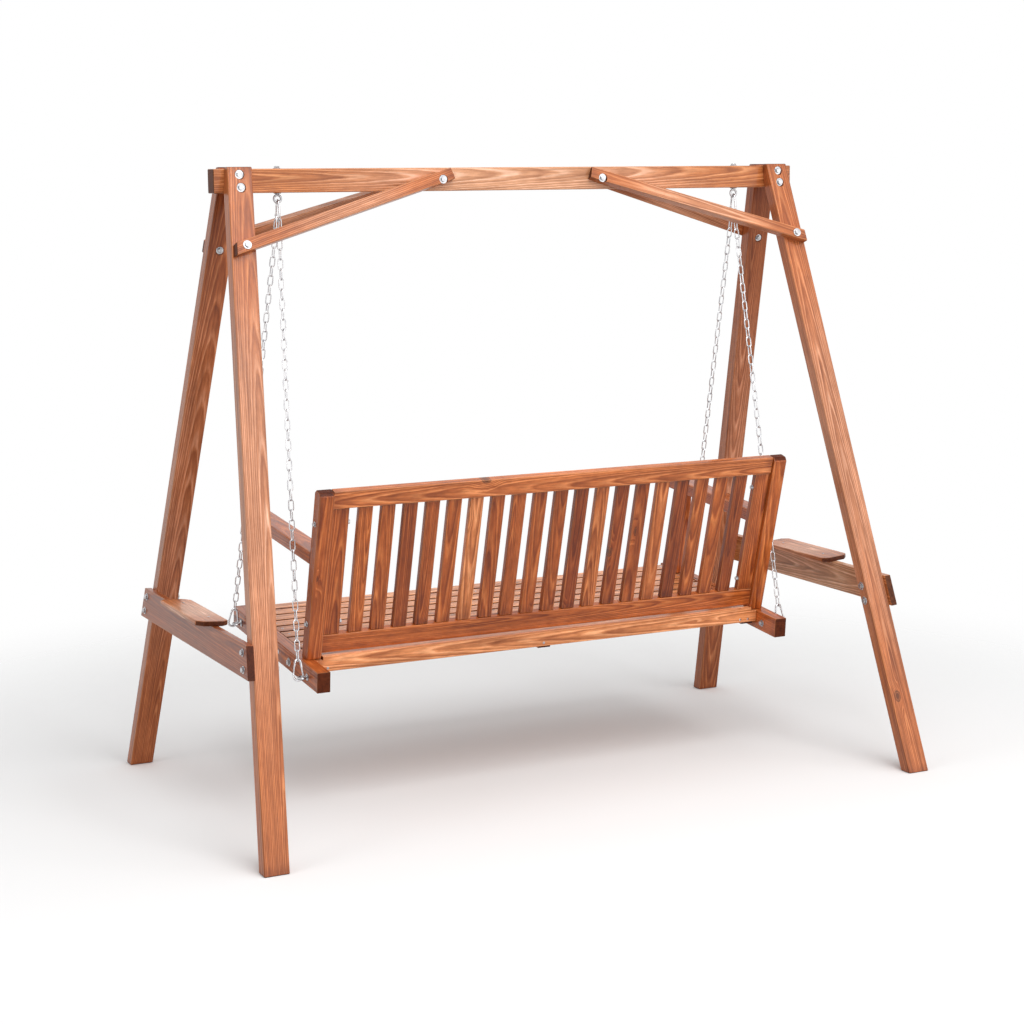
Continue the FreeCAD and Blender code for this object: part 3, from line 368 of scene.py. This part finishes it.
boltZinc = {"bright": (0.57, 0.57, 0.58), "dull": (0.36, 0.36, 0.38), "stain": (0.3, 0.28, 0.25), "rough": 0.28}
chainZinc = {"bright": (0.74, 0.74, 0.75), "dull": (0.5, 0.5, 0.52), "stain": (0.4, 0.39, 0.36), "rough": 0.2}
materials = {
    "stand_timber": timber("standTimber", standLook),
    "bench_timber": timber("benchTimber", benchLook),
    "bolt_steel": zincPlate("boltZinc", boltZinc),
    "chain_steel": zincPlate("chainZinc", chainZinc),
}
print("materials:", len(materials))

meshLook = {"weld": 1e-6, "flatAngle": 0.6, "sharp": 38}


# the separate solids of a CAD node, each in a bmesh of its own
def solidsOf(nodeName):
    whole = bmesh.new()
    whole.from_mesh(nodes[nodeName].data)
    bmesh.ops.remove_doubles(whole, verts=whole.verts, dist=meshLook["weld"])
    seen = set()
    found = []
    for start in whole.verts:
        if start in seen:
            continue
        island = [start]
        seen.add(start)
        for vert in island:
            for edge in vert.link_edges:
                other = edge.other_vert(vert)
                if other not in seen:
                    seen.add(other)
                    island.append(other)
        solid = bmesh.new()
        copies = {vert: solid.verts.new(vert.co) for vert in island}
        for face in dict.fromkeys(face for vert in island for face in vert.link_faces):
            solid.faces.new([copies[vert] for vert in face.verts])
        solid.normal_update()
        found.append(solid)
    whole.free()
    return found


# flat faces in one piece each, without the triangles' edges
def flattened(solid):
    bmesh.ops.dissolve_limit(solid, angle_limit=math.radians(meshLook["flatAngle"]), verts=solid.verts,
                             edges=solid.edges)
    solid.normal_update()


def dress(piece, slot, body, *stoodFor):
    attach(piece, body)
    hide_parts(*stoodFor)


# a finished mesh object with smooth faces and crisp corners
def meshPiece(name, mesh, slot, sharpAngle):
    mesh.materials.append(materials[slot])
    mesh.polygons.foreach_set("use_smooth", [True] * len(mesh.polygons))
    mesh.set_sharp_from_angle(angle=math.radians(sharpAngle))
    piece = bpy.data.objects.new(name, mesh)
    bpy.context.scene.collection.objects.link(piece)
    return piece


def anglesRound(steps):
    return [2 * math.pi * i / steps for i in range(steps)]


# a point about the z of a frame
def ringPoint(place, radius, angle, height):
    return place @ Vector((radius * math.cos(angle), radius * math.sin(angle), height))


# a frame with its z along one direction
def standing(origin, upward):
    turn = upward.to_track_quat("Z", "Y").to_matrix().to_4x4()
    return Matrix.Translation(origin) @ turn


hexagonLook = {"rim": 1.02, "top": 0.97, "slope": 0.58, "ease": 0.0002, "steps": 48}


# rings of points lofted into closed solids
class Forge:
    def __init__(self):
        self.points = []
        self.faces = []

    def loft(self, rings, loop=False):
        first = len(self.points)
        around = len(rings[0])
        total = len(rings)
        for ring in rings:
            self.points.extend(ring)
        for i in range(total if loop else total - 1):
            here = first + i * around
            there = first + (i + 1) % total * around
            for j in range(around):
                k = (j + 1) % around
                self.faces.append((here + j, here + k, there + k, there + j))
        if not loop:
            self.faces.append(tuple(range(first, first + around))[::-1])
            self.faces.append(tuple(range(first + (total - 1) * around, first + total * around)))

    # profile of (radius, height) turned about the frame's z
    def turn(self, place, profile, steps, loop=False):
        self.loft([[ringPoint(place, radius, a, height) for a in anglesRound(steps)]
                   for radius, height in profile], loop)

    # a hexagon with its corners taken off by a turned chamfer, top and bottom
    def hexagon(self, place, corner, low, high):
        sixth = math.pi / 3
        flat = corner * math.cos(sixth / 2)
        rim = flat * hexagonLook["rim"]
        top = rim * hexagonLook["top"]
        rings = [[], [], [], []]
        for a in anglesRound(hexagonLook["steps"]):
            reach = flat / math.cos((a + sixth / 2) % sixth - sixth / 2)
            drop = max(0, reach - rim) * hexagonLook["slope"] + hexagonLook["ease"]
            for ring, radius, height in zip(rings, (top, reach, reach, top), (low, low + drop, high - drop, high)):
                ring.append(ringPoint(place, radius, a, height))
        self.loft(rings)

    # round wire along a path that lies in one plane
    def wire(self, path, normal, radius, sides, loop=False, swell=None):
        rings = []
        total = len(path)
        for i, point in enumerate(path):
            before = path[i - 1] if loop or i > 0 else point
            after = path[(i + 1) % total] if loop or i < total - 1 else point
            outward = (after - before).normalized().cross(normal)
            reach = radius * (swell[i] if swell else 1)
            rings.append([point + (outward * math.cos(a) + normal * math.sin(a)) * reach for a in anglesRound(sides)])
        self.loft(rings, loop)

    def piece(self, name, slot, sharpAngle=meshLook["sharp"]):
        mesh = bpy.data.meshes.new(name)
        mesh.from_pydata(self.points, [], self.faces)
        shell = bmesh.new()
        shell.from_mesh(mesh)
        bmesh.ops.recalc_face_normals(shell, faces=shell.faces)
        shell.to_mesh(mesh)
        shell.free()
        return meshPiece(name, mesh, slot, sharpAngle)


boltLook = {
    "wide": {"shank": 0.004, "washer": 0.012, "corner": 0.0075},
    "slim": {"shank": 0.003, "washer": 0.008, "corner": 0.0058},
    "rimShare": 0.95, "washerThick": 0.002, "washerEase": 0.28, "washerSteps": 36, "headHigh": 0.005, "headBore": 1.05,
    "headLift": 0.0004, "neck": [(0.8, 0), (0.86, 0.0003), (0.8, 0.0006)], "neckSteps": 32,
    "nutHigh": 0.0065, "nutWasher": 0.0014, "nutWasherWide": 0.86, "nutBore": 1.06,
    "threadEnd": 0.001, "pitch": 0.00125, "turns": 7, "root": 0.86, "lastRoot": 0.45, "tip": 0.72, "shankSteps": 20,
    "sunk": ("beam_bolts", "brace_bolts"),
}


# the places of the bolts in a CAD node: axis out of the head, top, head seat, far end and one way across
def boltPlaces(nodeName):
    places = []
    for solid in solidsOf(nodeName):
        points = np.array([vert.co for vert in solid.verts])
        solid.free()
        centre = points.mean(0)
        axis = np.linalg.eigh(np.cov((points - centre).T))[1][:, 2]
        height = (points - centre) @ axis
        spread = np.linalg.norm(points - centre - np.outer(height, axis), axis=1)
        wide = spread > spread.max() * boltLook["rimShare"]
        if height[wide].mean() < 0:
            axis, height = -axis, -height
        level = points[wide] - centre - np.outer(height[wide], axis)
        places.append({"outward": Vector(axis), "top": Vector(centre + axis * height.max()),
                       "seat": Vector(centre + axis * height[wide].min()),
                       "tail": Vector(centre + axis * height.min()), "level": Vector(level[0]).normalized()})
    return places


def washer(forge, place, radius, bore, low, high):
    edge = (high - low) * boltLook["washerEase"]
    forge.turn(place, [(bore, low), (radius - edge, low), (radius, low + edge), (radius, high - edge),
                       (radius - edge, high), (bore + edge, high), (bore, high - edge)],
               boltLook["washerSteps"], loop=True)


# nut and washer at the far end of a bolt
def nutSet(forge, place, size):
    tail = standing(place["tail"], -place["outward"])
    high = -boltLook["threadEnd"]
    low = high - boltLook["nutHigh"]
    rest = low + boltLook["nutWasher"]
    washer(forge, tail, size["washer"] * boltLook["nutWasherWide"], size["shank"] * boltLook["nutBore"], low, rest)
    forge.hexagon(tail, size["corner"], rest, high)


# shank with the last turns of its thread at the far end
def threadedShank(forge, place, size, length):
    tail = standing(place["tail"], -place["outward"])
    pitch = boltLook["pitch"]
    crest = size["shank"]
    root = crest * boltLook["root"]
    profile = [(crest, -length), (crest, -(boltLook["turns"] + 1) * pitch)]
    for i in range(boltLook["turns"], 0, -1):
        profile += [(root, -(i + 0.5) * pitch), (crest, -i * pitch)]
    profile += [(root, -boltLook["lastRoot"] * pitch), (crest * boltLook["tip"], 0)]
    forge.turn(tail, profile, boltLook["shankSteps"])


def steelPieces(*forged):
    for forge, node in forged:
        dress(forge.piece("steel_" + node, "bolt_steel"), "bolt_steel", bodyOf[node], node)


recesses = []
for boltNode, nutNode, sizeName in (("beam_bolts", "beam_nuts", "wide"), ("brace_bolts", "brace_nuts", "wide"),
                                    ("tie_bolts", "tie_nuts", "wide"), ("batten_bolts", "batten_nuts", "wide"),
                                    ("back_bolts", "back_nuts", "slim")):
    size = boltLook[sizeName]
    bolts = Forge()
    nuts = Forge()
    for place in boltPlaces(boltNode):
        seat = standing(place["seat"], place["outward"])
        high = boltLook["washerThick"]
        washer(bolts, seat, size["washer"], size["shank"] * boltLook["headBore"], 0, high)
        bolts.turn(seat, [(size["corner"] * share, high + rise) for share, rise in boltLook["neck"]],
                   boltLook["neckSteps"])
        bolts.hexagon(seat, size["corner"], high + boltLook["headLift"], high + boltLook["headHigh"])
        threadedShank(bolts, place, size, (place["seat"] - place["tail"]).length)
        nutSet(nuts, place, size)
        if boltNode in boltLook["sunk"]:
            nutSeat = place["tail"] + place["outward"] * (boltLook["threadEnd"] + boltLook["nutHigh"])
            recesses += [(place["seat"], place["outward"]), (nutSeat, -place["outward"])]
    steelPieces((bolts, boltNode), (nuts, nutNode))
print("bolts and nuts:", len(recesses) // 2, "of them sunk in the wood")

eyeLook = {
    "ring": 0.01, "wire": 0.003, "ringSteps": 36, "sides": 12, "collar": 0.003, "collarRadius": 0.01, "collarSteps": 32,
    "collarProfile": [(0.97, 0), (1, 0.0004), (1, 0.0018), (0.9, 0.00255), (0.6, 0.003), (0.42, 0.0042), (0.36, 0.006)],
}

# eye bolts: a ring on a turned collar, with a threaded shank through to the nut
for boltNode, nutNode in (("beam_eye_bolts", "beam_eye_nuts"), ("rail_eye_bolts", "rail_eye_nuts")):
    size = boltLook["wide"]
    bolts = Forge()
    nuts = Forge()
    for place in boltPlaces(boltNode):
        outward = place["outward"]
        middle = place["top"] - outward * (eyeLook["ring"] + eyeLook["wire"])
        normal = outward.cross(place["level"]).normalized()
        side = normal.cross(outward)
        path = [middle + (outward * math.cos(a) + side * math.sin(a)) * eyeLook["ring"]
                for a in anglesRound(eyeLook["ringSteps"])]
        bolts.wire(path, normal, eyeLook["wire"], eyeLook["sides"], loop=True)
        seat = middle - outward * (eyeLook["ring"] + eyeLook["wire"] + eyeLook["collar"])
        profile = [(eyeLook["collarRadius"] * share, height) for share, height in eyeLook["collarProfile"]]
        bolts.turn(standing(seat, outward), profile, eyeLook["collarSteps"])
        threadedShank(bolts, place, size, (seat - place["tail"]).length)
        nutSet(nuts, place, size)
    steelPieces((bolts, boltNode), (nuts, nutNode))
print("eye bolts done")

linkLook = {"wire": 0.00175, "halfWidth": 0.00675, "slack": 0.00004, "bendSteps": 9, "sides": 8, "sharp": 60}

# chains of welded round-wire links, every other one turned a quarter
for chainNode in [name for name in nodes if name.startswith("chain_")]:
    chain = Forge()
    links = []
    for solid in solidsOf(chainNode):
        points = np.array([vert.co for vert in solid.verts])
        solid.free()
        links.append((points.mean(0), points))
    links.sort(key=lambda entry: -entry[0][2])
    run = links[-1][0] - links[0][0]
    pitch = np.linalg.norm(run) / (len(links) - 1)
    down = Vector(run).normalized()
    halfWidth = linkLook["halfWidth"]
    halfStraight = pitch / 2 + linkLook["wire"] - linkLook["slack"] - halfWidth
    for centre, points in links:
        flat = points - centre - np.outer((points - centre) @ np.array(down), np.array(down))
        side = Vector(np.linalg.eigh(flat.T @ flat)[1][:, 2])
        side = (side - down * side.dot(down)).normalized()
        path = []
        for end, start in ((1, 0), (-1, math.pi)):
            for i in range(linkLook["bendSteps"]):
                a = start + math.pi * i / (linkLook["bendSteps"] - 1)
                path.append(Vector(centre) + down * (end * halfStraight + math.sin(a) * halfWidth)
                            + side * (math.cos(a) * halfWidth))
        chain.wire(path, down.cross(side), linkLook["wire"], linkLook["sides"], loop=True)
    piece = chain.piece("steel_" + chainNode, "chain_steel", linkLook["sharp"])
    dress(piece, "chain_steel", bodyOf[chainNode], chainNode)
print("chains done")

hookLook = {
    "length": 0.056, "wire": 0.003, "narrow": 0.008, "wide": 0.014, "sides": 12, "tipSteps": 14, "bellySteps": 24,
    "nose": 0.005, "noseShares": (1, 0.93, 0.8, 0.4), "noseSwell": [0.25, 0.72, 0.95],
    "footGap": 0.09, "footSwell": [0.94, 0.6], "sharp": 60,
    "rivetHead": 0.0024, "rivetSeat": 0.9, "turnSteps": 18,
    "rivetProfile": [(0.85, -0.0008), (1, 0), (0.96, 0.0006), (0.7, 0.0011), (0.3, 0.0013)],
    "gateWire": 0.0023, "gateSharp": 50,
    "gateFoot": [(0.5, -0.0021), (0.95, -0.0017), (1.22, -0.0006), (1.25, 0.001), (1.2, 0.0036), (1, 0.0052)],
    "gateTip": [(1, -0.0075), (1.16, -0.006), (1.16, -0.001), (1.02, -0.0002)],
}


# points of a bend in a hook's plane, which is given by its foot, its gate's side and its length
def bend(plane, centre, radius, start, stop, steps):
    origin, sideways, lengthwise = plane
    return [origin + sideways * (radius * math.cos(a)) + lengthwise * (centre + radius * math.sin(a))
            for a in (start + (stop - start) * i / steps for i in range(steps + 1))]


# snap hooks: a pear of round wire, closed by a riveted gate
wide, narrow = hookLook["wide"], hookLook["narrow"]
flank = math.asin((wide - narrow) / (hookLook["length"] - wide - narrow))
hooks = Forge()
for gateNode in [name for name in nodes if name.startswith("hook_gate_")]:
    joint = jointOf[bodyOf[gateNode]]
    pivot = Vector(joint["pos_m"])
    normal = Vector(joint["axis"]).normalized()
    low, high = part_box(gateNode)
    points = np.array([vert.co for vert in nodes[gateNode].data.vertices])
    gateLength = max((Vector(point) - pivot).length for point in points)
    reach = (Vector((low + high) / 2) - pivot).normalized()
    reach = (reach - normal * reach.dot(normal)).normalized()
    outer = reach.cross(normal)
    toGate = outer * math.cos(flank) - reach * math.sin(flank)
    lengthwise = outer * math.sin(flank) + reach * math.cos(flank)
    origin = pivot - toGate * wide * math.cos(flank) - lengthwise * wide * (1 + math.sin(flank))
    plane = (origin, toGate, lengthwise)
    tip = bend(plane, hookLook["length"] - narrow, narrow, flank, math.pi - flank, hookLook["tipSteps"])
    belly = bend(plane, wide, wide, math.pi - flank, 2 * math.pi + flank - hookLook["footGap"], hookLook["bellySteps"])
    path = [tip[0] - reach * (hookLook["nose"] * share) for share in hookLook["noseShares"]] + tip + belly
    plain = len(path) - len(hookLook["noseSwell"]) - len(hookLook["footSwell"])
    swell = hookLook["noseSwell"] + [1] * plain + hookLook["footSwell"]
    hooks.wire(path, normal, hookLook["wire"], hookLook["sides"], swell=swell)
    rivet = [(hookLook["rivetHead"] * share, height) for share, height in hookLook["rivetProfile"]]
    for side in (1, -1):
        pin = standing(pivot + normal * (side * hookLook["wire"] * hookLook["rivetSeat"]), normal * side)
        hooks.turn(pin, rivet, hookLook["turnSteps"])
    bar = [(hookLook["gateWire"] * share, height) for share, height in hookLook["gateFoot"]]
    bar += [(hookLook["gateWire"] * share, gateLength + height) for share, height in hookLook["gateTip"]]
    gate = Forge()
    gate.turn(standing(pivot, reach), bar, hookLook["turnSteps"])
    piece = gate.piece("steel_" + gateNode, "chain_steel", hookLook["gateSharp"])
    dress(piece, "chain_steel", bodyOf[gateNode], gateNode)
piece = hooks.piece("steel_snap_hooks", "chain_steel", hookLook["sharp"])
dress(piece, "chain_steel", bodyOf["snap_hooks"], "snap_hooks")
print("hooks and gates done")

# a node takes the first arris and the first range of tones whose key its name starts with; "" fits the rest
timberLook = {
    "seed": 41, "sharp": 40, "steps": 3, "shortest": 0.012, "cornerAngle": 22,
    "ridgeAngle": 0.2, "broadTilt": 0.3, "lengthDigits": 6, "areaDigits": 8,
    "recess": 0.01302, "recessDeep": 0.00003, "recessHigh": 0.03, "recessNear": 0.005, "recessSteps": 40,
    "heartAcross": 0.7, "heartDeep": (0.004, 0.05), "lean": (0.012, 0.04), "drift": 0.012, "shift": 60,
    "sunk": ("leg_", "brace_"), "broader": {"back_slats": 1.14},
    # painted shade: the narrow edges of these boards take the darkest tone, as if shadowed in the gaps between them
    "paintedShadeEdges": ("seat_slats",), "paintedShadeTone": 1.0, "paintedShadeNear": 0.0002,
    "arris": {"leg_": 0.003, "top_beam": 0.003, "arm_left": 0.004, "arm_right": 0.004, "seat_slats": 0.0016,
              "back_slats": 0.0026, "shelf_": 0.0028, "brace_": 0.002, "seat_batten": 0.0015, "back_stile": 0.0028,
              "": 0.0022},
    # the seat slats, the shelves and the top beam are set paler, partly for their own colour and partly as a painted
    # sheen
    "tone": {"brace_rear": (0.32, 0.42), "brace_front": (0.3, 0.5), "leg_rear_left": (0.36, 0.4),
             "leg_rear_right": (0.42, 0.46), "leg_front": (0.5, 0.62), "top_beam": (0.15, 0.2),
             "tie_left": (0.8, 0.84), "tie_right": (0.0, 0.04), "shelf_": (0.22, 0.34),
             "back_top_rail": (0.3, 0.34), "back_bottom_rail": (0.42, 0.46), "back_stile_right": (0.32, 0.4),
             "back_stile": (0.5, 0.6), "back_slats": (0.2, 0.95), "back_end": (0.5, 0.7),
             "seat_rear_apron": (0.08, 0.12), "seat_slats": (0.0, 0.1), "seat_rail": (0.3, 0.5), "arm_": (0.5, 0.7),
             "": (0.4, 0.7)},
}


def settingFor(woodNode, kind):
    return next(value for key, value in timberLook[kind].items() if woodNode.startswith(key))


# directions of a board: its length, its width and its thickness, with its middle and half sizes
def boardFrame(solid):
    ridges = [edge for edge in solid.edges
              if len(edge.link_faces) == 2 and edge.calc_face_angle() > timberLook["ridgeAngle"]]
    longest = max(ridges, key=lambda edge: round(edge.calc_length(), timberLook["lengthDigits"]))
    length = (longest.verts[1].co - longest.verts[0].co).normalized()
    if max(length, key=abs) < 0:
        length = -length
    broad = max((face for face in solid.faces if abs(face.normal.dot(length)) < timberLook["broadTilt"]),
                key=lambda face: round(face.calc_area(), timberLook["areaDigits"]))
    deep = (broad.normal - length * broad.normal.dot(length)).normalized()
    if max(deep, key=abs) < 0:
        deep = -deep
    across = deep.cross(length)
    turn = Matrix((length, across, deep))
    local = np.array([turn @ vert.co for vert in solid.verts])
    middle = Vector((local.min(0) + local.max(0)) / 2)
    half = Vector((local.max(0) - local.min(0)) / 2)
    return turn, middle, half


# the round recesses of sunk bolts, cut into a leg or a brace
def sunkRecesses(solid, name):
    mesh = bpy.data.meshes.new(name)
    solid.to_mesh(mesh)
    block = bpy.data.objects.new(name, mesh)
    bpy.context.scene.collection.objects.link(block)
    points = np.array([vert.co for vert in solid.verts])
    low = points.min(0) - timberLook["recessNear"]
    high = points.max(0) + timberLook["recessNear"]
    profile = [(timberLook["recess"], -timberLook["recessDeep"]), (timberLook["recess"], timberLook["recessHigh"])]
    cutters = Forge()
    for seat, outward in recesses:
        if all(low[i] < seat[i] < high[i] for i in range(3)):
            cutters.turn(standing(seat, outward), profile, timberLook["recessSteps"])
    tool = cutters.piece(name + ".cutters", "bolt_steel")
    cut = block.modifiers.new("recess", "BOOLEAN")
    cut.operation = "DIFFERENCE"
    cut.solver = "EXACT"
    cut.object = tool
    ready = block.evaluated_get(bpy.context.evaluated_depsgraph_get())
    result = bmesh.new()
    result.from_mesh(ready.to_mesh())
    ready.to_mesh_clear()
    bpy.data.objects.remove(tool)
    bpy.data.objects.remove(block)
    solid.free()
    return result


def easedArrises(solid, arris):
    corners = [edge for edge in solid.edges if len(edge.link_faces) == 2
               and edge.calc_length() > timberLook["shortest"]
               and edge.calc_face_angle_signed() > math.radians(timberLook["cornerAngle"])]
    bmesh.ops.bevel(solid, geom=corners, offset=arris, offset_type="OFFSET", segments=timberLook["steps"],
                    profile=0.5, affect="EDGES", clamp_overlap=False)


seeds = random.Random(timberLook["seed"])
timberNodes = sorted(name for name in nodes if slotOf[name].endswith("_timber"))
for woodNode in timberNodes:
    points, faces, tones = [], [], []
    columns = {"grain": [], "board": [], "boardHalf": [], "lengthwise": []}
    for solid in solidsOf(woodNode):
        flattened(solid)
        turn, middle, half = boardFrame(solid)
        broader = timberLook["broader"].get(woodNode, 1)
        for vert in solid.verts:
            vert.co += turn[1] * (((turn @ vert.co).y - middle.y) * (broader - 1))
        half.y *= broader
        if woodNode.startswith(timberLook["sunk"]):
            solid = sunkRecesses(solid, woodNode + ".blank")
            flattened(solid)
        easedArrises(solid, settingFor(woodNode, "arris"))
        # where the tree's heart ran past this board, and how much the board leans across the rings
        heartAcross = seeds.uniform(-timberLook["heartAcross"], timberLook["heartAcross"]) * half.y
        heartDeep = seeds.choice((-1, 1)) * (half.z + seeds.uniform(*timberLook["heartDeep"]))
        lean = seeds.choice((-1, 1)) * seeds.uniform(*timberLook["lean"])
        drift = seeds.uniform(-timberLook["drift"], timberLook["drift"])
        shift = seeds.uniform(0, timberLook["shift"])
        tone = seeds.uniform(*settingFor(woodNode, "tone"))
        first = len(points)
        solid.verts.index_update()
        for vert in solid.verts:
            spot = turn @ vert.co - middle
            points.append(vert.co.copy())
            columns["grain"].append((spot.x + shift, spot.y - heartAcross - drift * spot.x,
                                     spot.z - heartDeep - lean * spot.x))
            columns["board"].append(tuple(spot))
            columns["boardHalf"].append(tuple(half))
            columns["lengthwise"].append(tuple(turn[0]))
            # painted shade on the narrow edges of the seat slats
            inPaintedShade = woodNode in timberLook["paintedShadeEdges"] and half.y - abs(spot.y) < timberLook["paintedShadeNear"]
            tones.append(timberLook["paintedShadeTone"] if inPaintedShade else tone)
        faces.extend(tuple(first + vert.index for vert in face.verts) for face in solid.faces)
        solid.free()
    mesh = bpy.data.meshes.new("wood_" + woodNode)
    mesh.from_pydata(points, [], faces)
    for name, values in columns.items():
        column = mesh.attributes.new(name, "FLOAT_VECTOR", "POINT")
        column.data.foreach_set("vector", [number for value in values for number in value])
    mesh.attributes.new("tone", "FLOAT", "POINT").data.foreach_set("value", tones)
    piece = meshPiece("wood_" + woodNode, mesh, slotOf[woodNode], timberLook["sharp"])
    piece.modifiers.new("crisp faces", "WEIGHTED_NORMAL").keep_sharp = True
    dress(piece, slotOf[woodNode], bodyOf[woodNode], woodNode)
print("timber:", len(timberNodes), "nodes dressed")

screwLook = {
    "head": 0.0037, "rise": 0.0004, "profile": [(0.55, -0.0022), (0.97, 0), (0.94, 0.00024), (0.8, 0.0004)],
    "recess": 0.0021, "sink": 0.0013, "taper": 0.75, "lobeLow": 0.3, "lobePower": 3, "lobeLeast": 0.2, "steps": 32,
    "facing": 0.7, "apronX": (0.67, 0.012, -0.647, -0.674), "apronDrop": 0.012, "frontX": (0.6, 0.3, 0.0, -0.3, -0.6),
    "shelfInset": 0.007, "shelfY": (-0.11, 0.11),
}


# countersunk cross-head screws
def screw(forge, spot, outward):
    place = standing(spot, outward)
    angles = anglesRound(screwLook["steps"])
    head, rise, low = screwLook["head"], screwLook["rise"], screwLook["lobeLow"]
    lobes = [screwLook["recess"] * (low + (1 - low) * abs(math.cos(2 * a)) ** screwLook["lobePower"]) for a in angles]
    rings = [[(head * share, height)] * len(angles) for share, height in screwLook["profile"]]
    rings.append([(max(lobe, head * screwLook["lobeLeast"]), rise) for lobe in lobes])
    rings.append([(lobe * screwLook["taper"], rise - screwLook["sink"]) for lobe in lobes])
    forge.loft([[ringPoint(place, radius, a, height) for a, (radius, height) in zip(angles, ring)] for ring in rings])


# the broadest flat faces of a node that look one way, one for each solid
def broadFaces(nodeName, towards):
    found = []
    for solid in solidsOf(nodeName):
        flattened(solid)
        face = max((face for face in solid.faces if face.normal.dot(towards) > screwLook["facing"]),
                   key=lambda face: face.calc_area())
        low = [min(vert.co[i] for vert in face.verts) for i in range(3)]
        high = [max(vert.co[i] for vert in face.verts) for i in range(3)]
        found.append((Vector([(a + b) / 2 for a, b in zip(low, high)]), face.normal.copy()))
        solid.free()
    return found


up = Vector((0, 0, 1))
rearward = Vector((0, 1, 0))
rightward = Vector((-1, 0, 0))
benchScrews = Forge()
battenX = [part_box(name)[0].x / 2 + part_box(name)[1].x / 2
           for name in ("seat_batten_left", "seat_batten_middle", "seat_batten_right")]
for nodeName, towards, places, drop in (("seat_slats", up, battenX, 0),
                                        ("seat_rear_apron", rearward, screwLook["apronX"], screwLook["apronDrop"]),
                                        ("seat_front_rail", -rearward, screwLook["frontX"], 0)):
    for middle, normal in broadFaces(nodeName, towards):
        for x in places:
            screw(benchScrews, Vector((x, middle.y, middle.z)) - normal.cross(rightward) * drop, normal)
piece = benchScrews.piece("steel_bench_screws", "bolt_steel")
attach(piece, "swing")

standScrews = Forge()
for shelfNode in ("shelf_left", "shelf_right"):
    for middle, normal in broadFaces(shelfNode, up):
        inward = -math.copysign(screwLook["shelfInset"], middle.x)
        for y in screwLook["shelfY"]:
            screw(standScrews, middle + Vector((inward, y, 0)), normal)
piece = standScrews.piece("steel_shelf_screws", "bolt_steel")
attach(piece, "stand")
print("screws done")

stageLook = {
    "floorSeen": (0.9, 0.9, 0.9), "floorLit": (0.5, 0.5, 0.5), "floorRough": 0.9, "floorHalf": 9, "floorLow": -0.0006,
    "fade": (1.3, 2.9), "sky": 0.38,
    "lamps": {"keyBox": {"at": (0.2, 4.6, 6.2), "towards": (0, 0, 0.8), "size": 5, "power": 260},
              "topBox": {"at": (0.2, 0.2, 5.6), "towards": (0, 0, 0.6), "size": 6, "power": 100},
              "frontBox": {"at": (-2.2, 4.9, 2.8), "towards": (0, 0, 0.8), "size": 6.4, "power": 150},
              "sideBox": {"at": (5.2, 1.2, 2.6), "towards": (0, 0, 0.8), "size": 2.6, "power": 34}},
}


def softBox(name, look):
    lamp = bpy.data.lights.new(name, "AREA")
    lamp.shape = "SQUARE"
    lamp.size = look["size"]
    lamp.energy = look["power"]
    holder = bpy.data.objects.new(name, lamp)
    holder.location = look["at"]
    holder.rotation_euler = (Vector(look["towards"]) - Vector(look["at"])).to_track_quat("-Z", "Y").to_euler()
    bpy.context.scene.collection.objects.link(holder)


# a pale floor that keeps the shadow near the swing and gives way to the white round it
def paleFloor():
    g = Graph(bpy.data.materials.new("paleFloor"))
    place = g.add("ShaderNodeTexCoord", output="Object")
    away = g.add("ShaderNodeVectorMath", {"operation": "LENGTH"}, {0: place}, output="Value")
    shade = g.blend(g.looked(), (*stageLook["floorLit"], 1), (*stageLook["floorSeen"], 1))
    ground = g.add("ShaderNodeBsdfPrincipled", inputs={"Base Color": shade, "Roughness": stageLook["floorRough"],
                                                       "Specular IOR Level": 0.0})
    clear = g.add("ShaderNodeBsdfTransparent")
    return g.finish(g.add("ShaderNodeMixShader", inputs={0: away.eased(*stageLook["fade"]), 1: ground, 2: clear}))


half, level = stageLook["floorHalf"], stageLook["floorLow"]
floorMesh = bpy.data.meshes.new("floor")
floorMesh.from_pydata([(-half, -half, level), (half, -half, level), (half, half, level), (-half, half, level)], [],
                      [(0, 1, 2, 3)])
floorMesh.materials.append(paleFloor())
floor = bpy.data.objects.new("floor", floorMesh)
bpy.context.scene.collection.objects.link(floor)
floor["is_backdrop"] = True

# white where it is looked at, a soft grey light elsewhere
studio = bpy.data.worlds.new("studio")
bpy.context.scene.world = studio
sky = Graph(studio)
strength = stageLook["sky"] + sky.looked() * (1 - stageLook["sky"])
sky.finish(sky.add("ShaderNodeBackground", inputs={"Color": (1, 1, 1, 1), "Strength": strength}),
           "ShaderNodeOutputWorld")
for name, look in stageLook["lamps"].items():
    softBox(name, look)

cameraLook = {"at": (2.70844, 5.44673, 1.71823), "turn": (81.0403, 0.47404, 153.28553), "lens": 74.782,
              "shift": -0.01514, "sensor": 36}
lens = bpy.data.cameras.new("camera")
lens.sensor_width = cameraLook["sensor"]
lens.lens = cameraLook["lens"]
lens.shift_x = cameraLook["shift"]
camera = bpy.data.objects.new("camera", lens)
camera.location = cameraLook["at"]
camera.rotation_euler = Euler([math.radians(angle) for angle in cameraLook["turn"]], "XYZ")
bpy.context.scene.collection.objects.link(camera)
bpy.context.scene.camera = camera
bpy.context.scene.view_settings.view_transform = "Standard"
print("stage and camera done")

low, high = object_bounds()
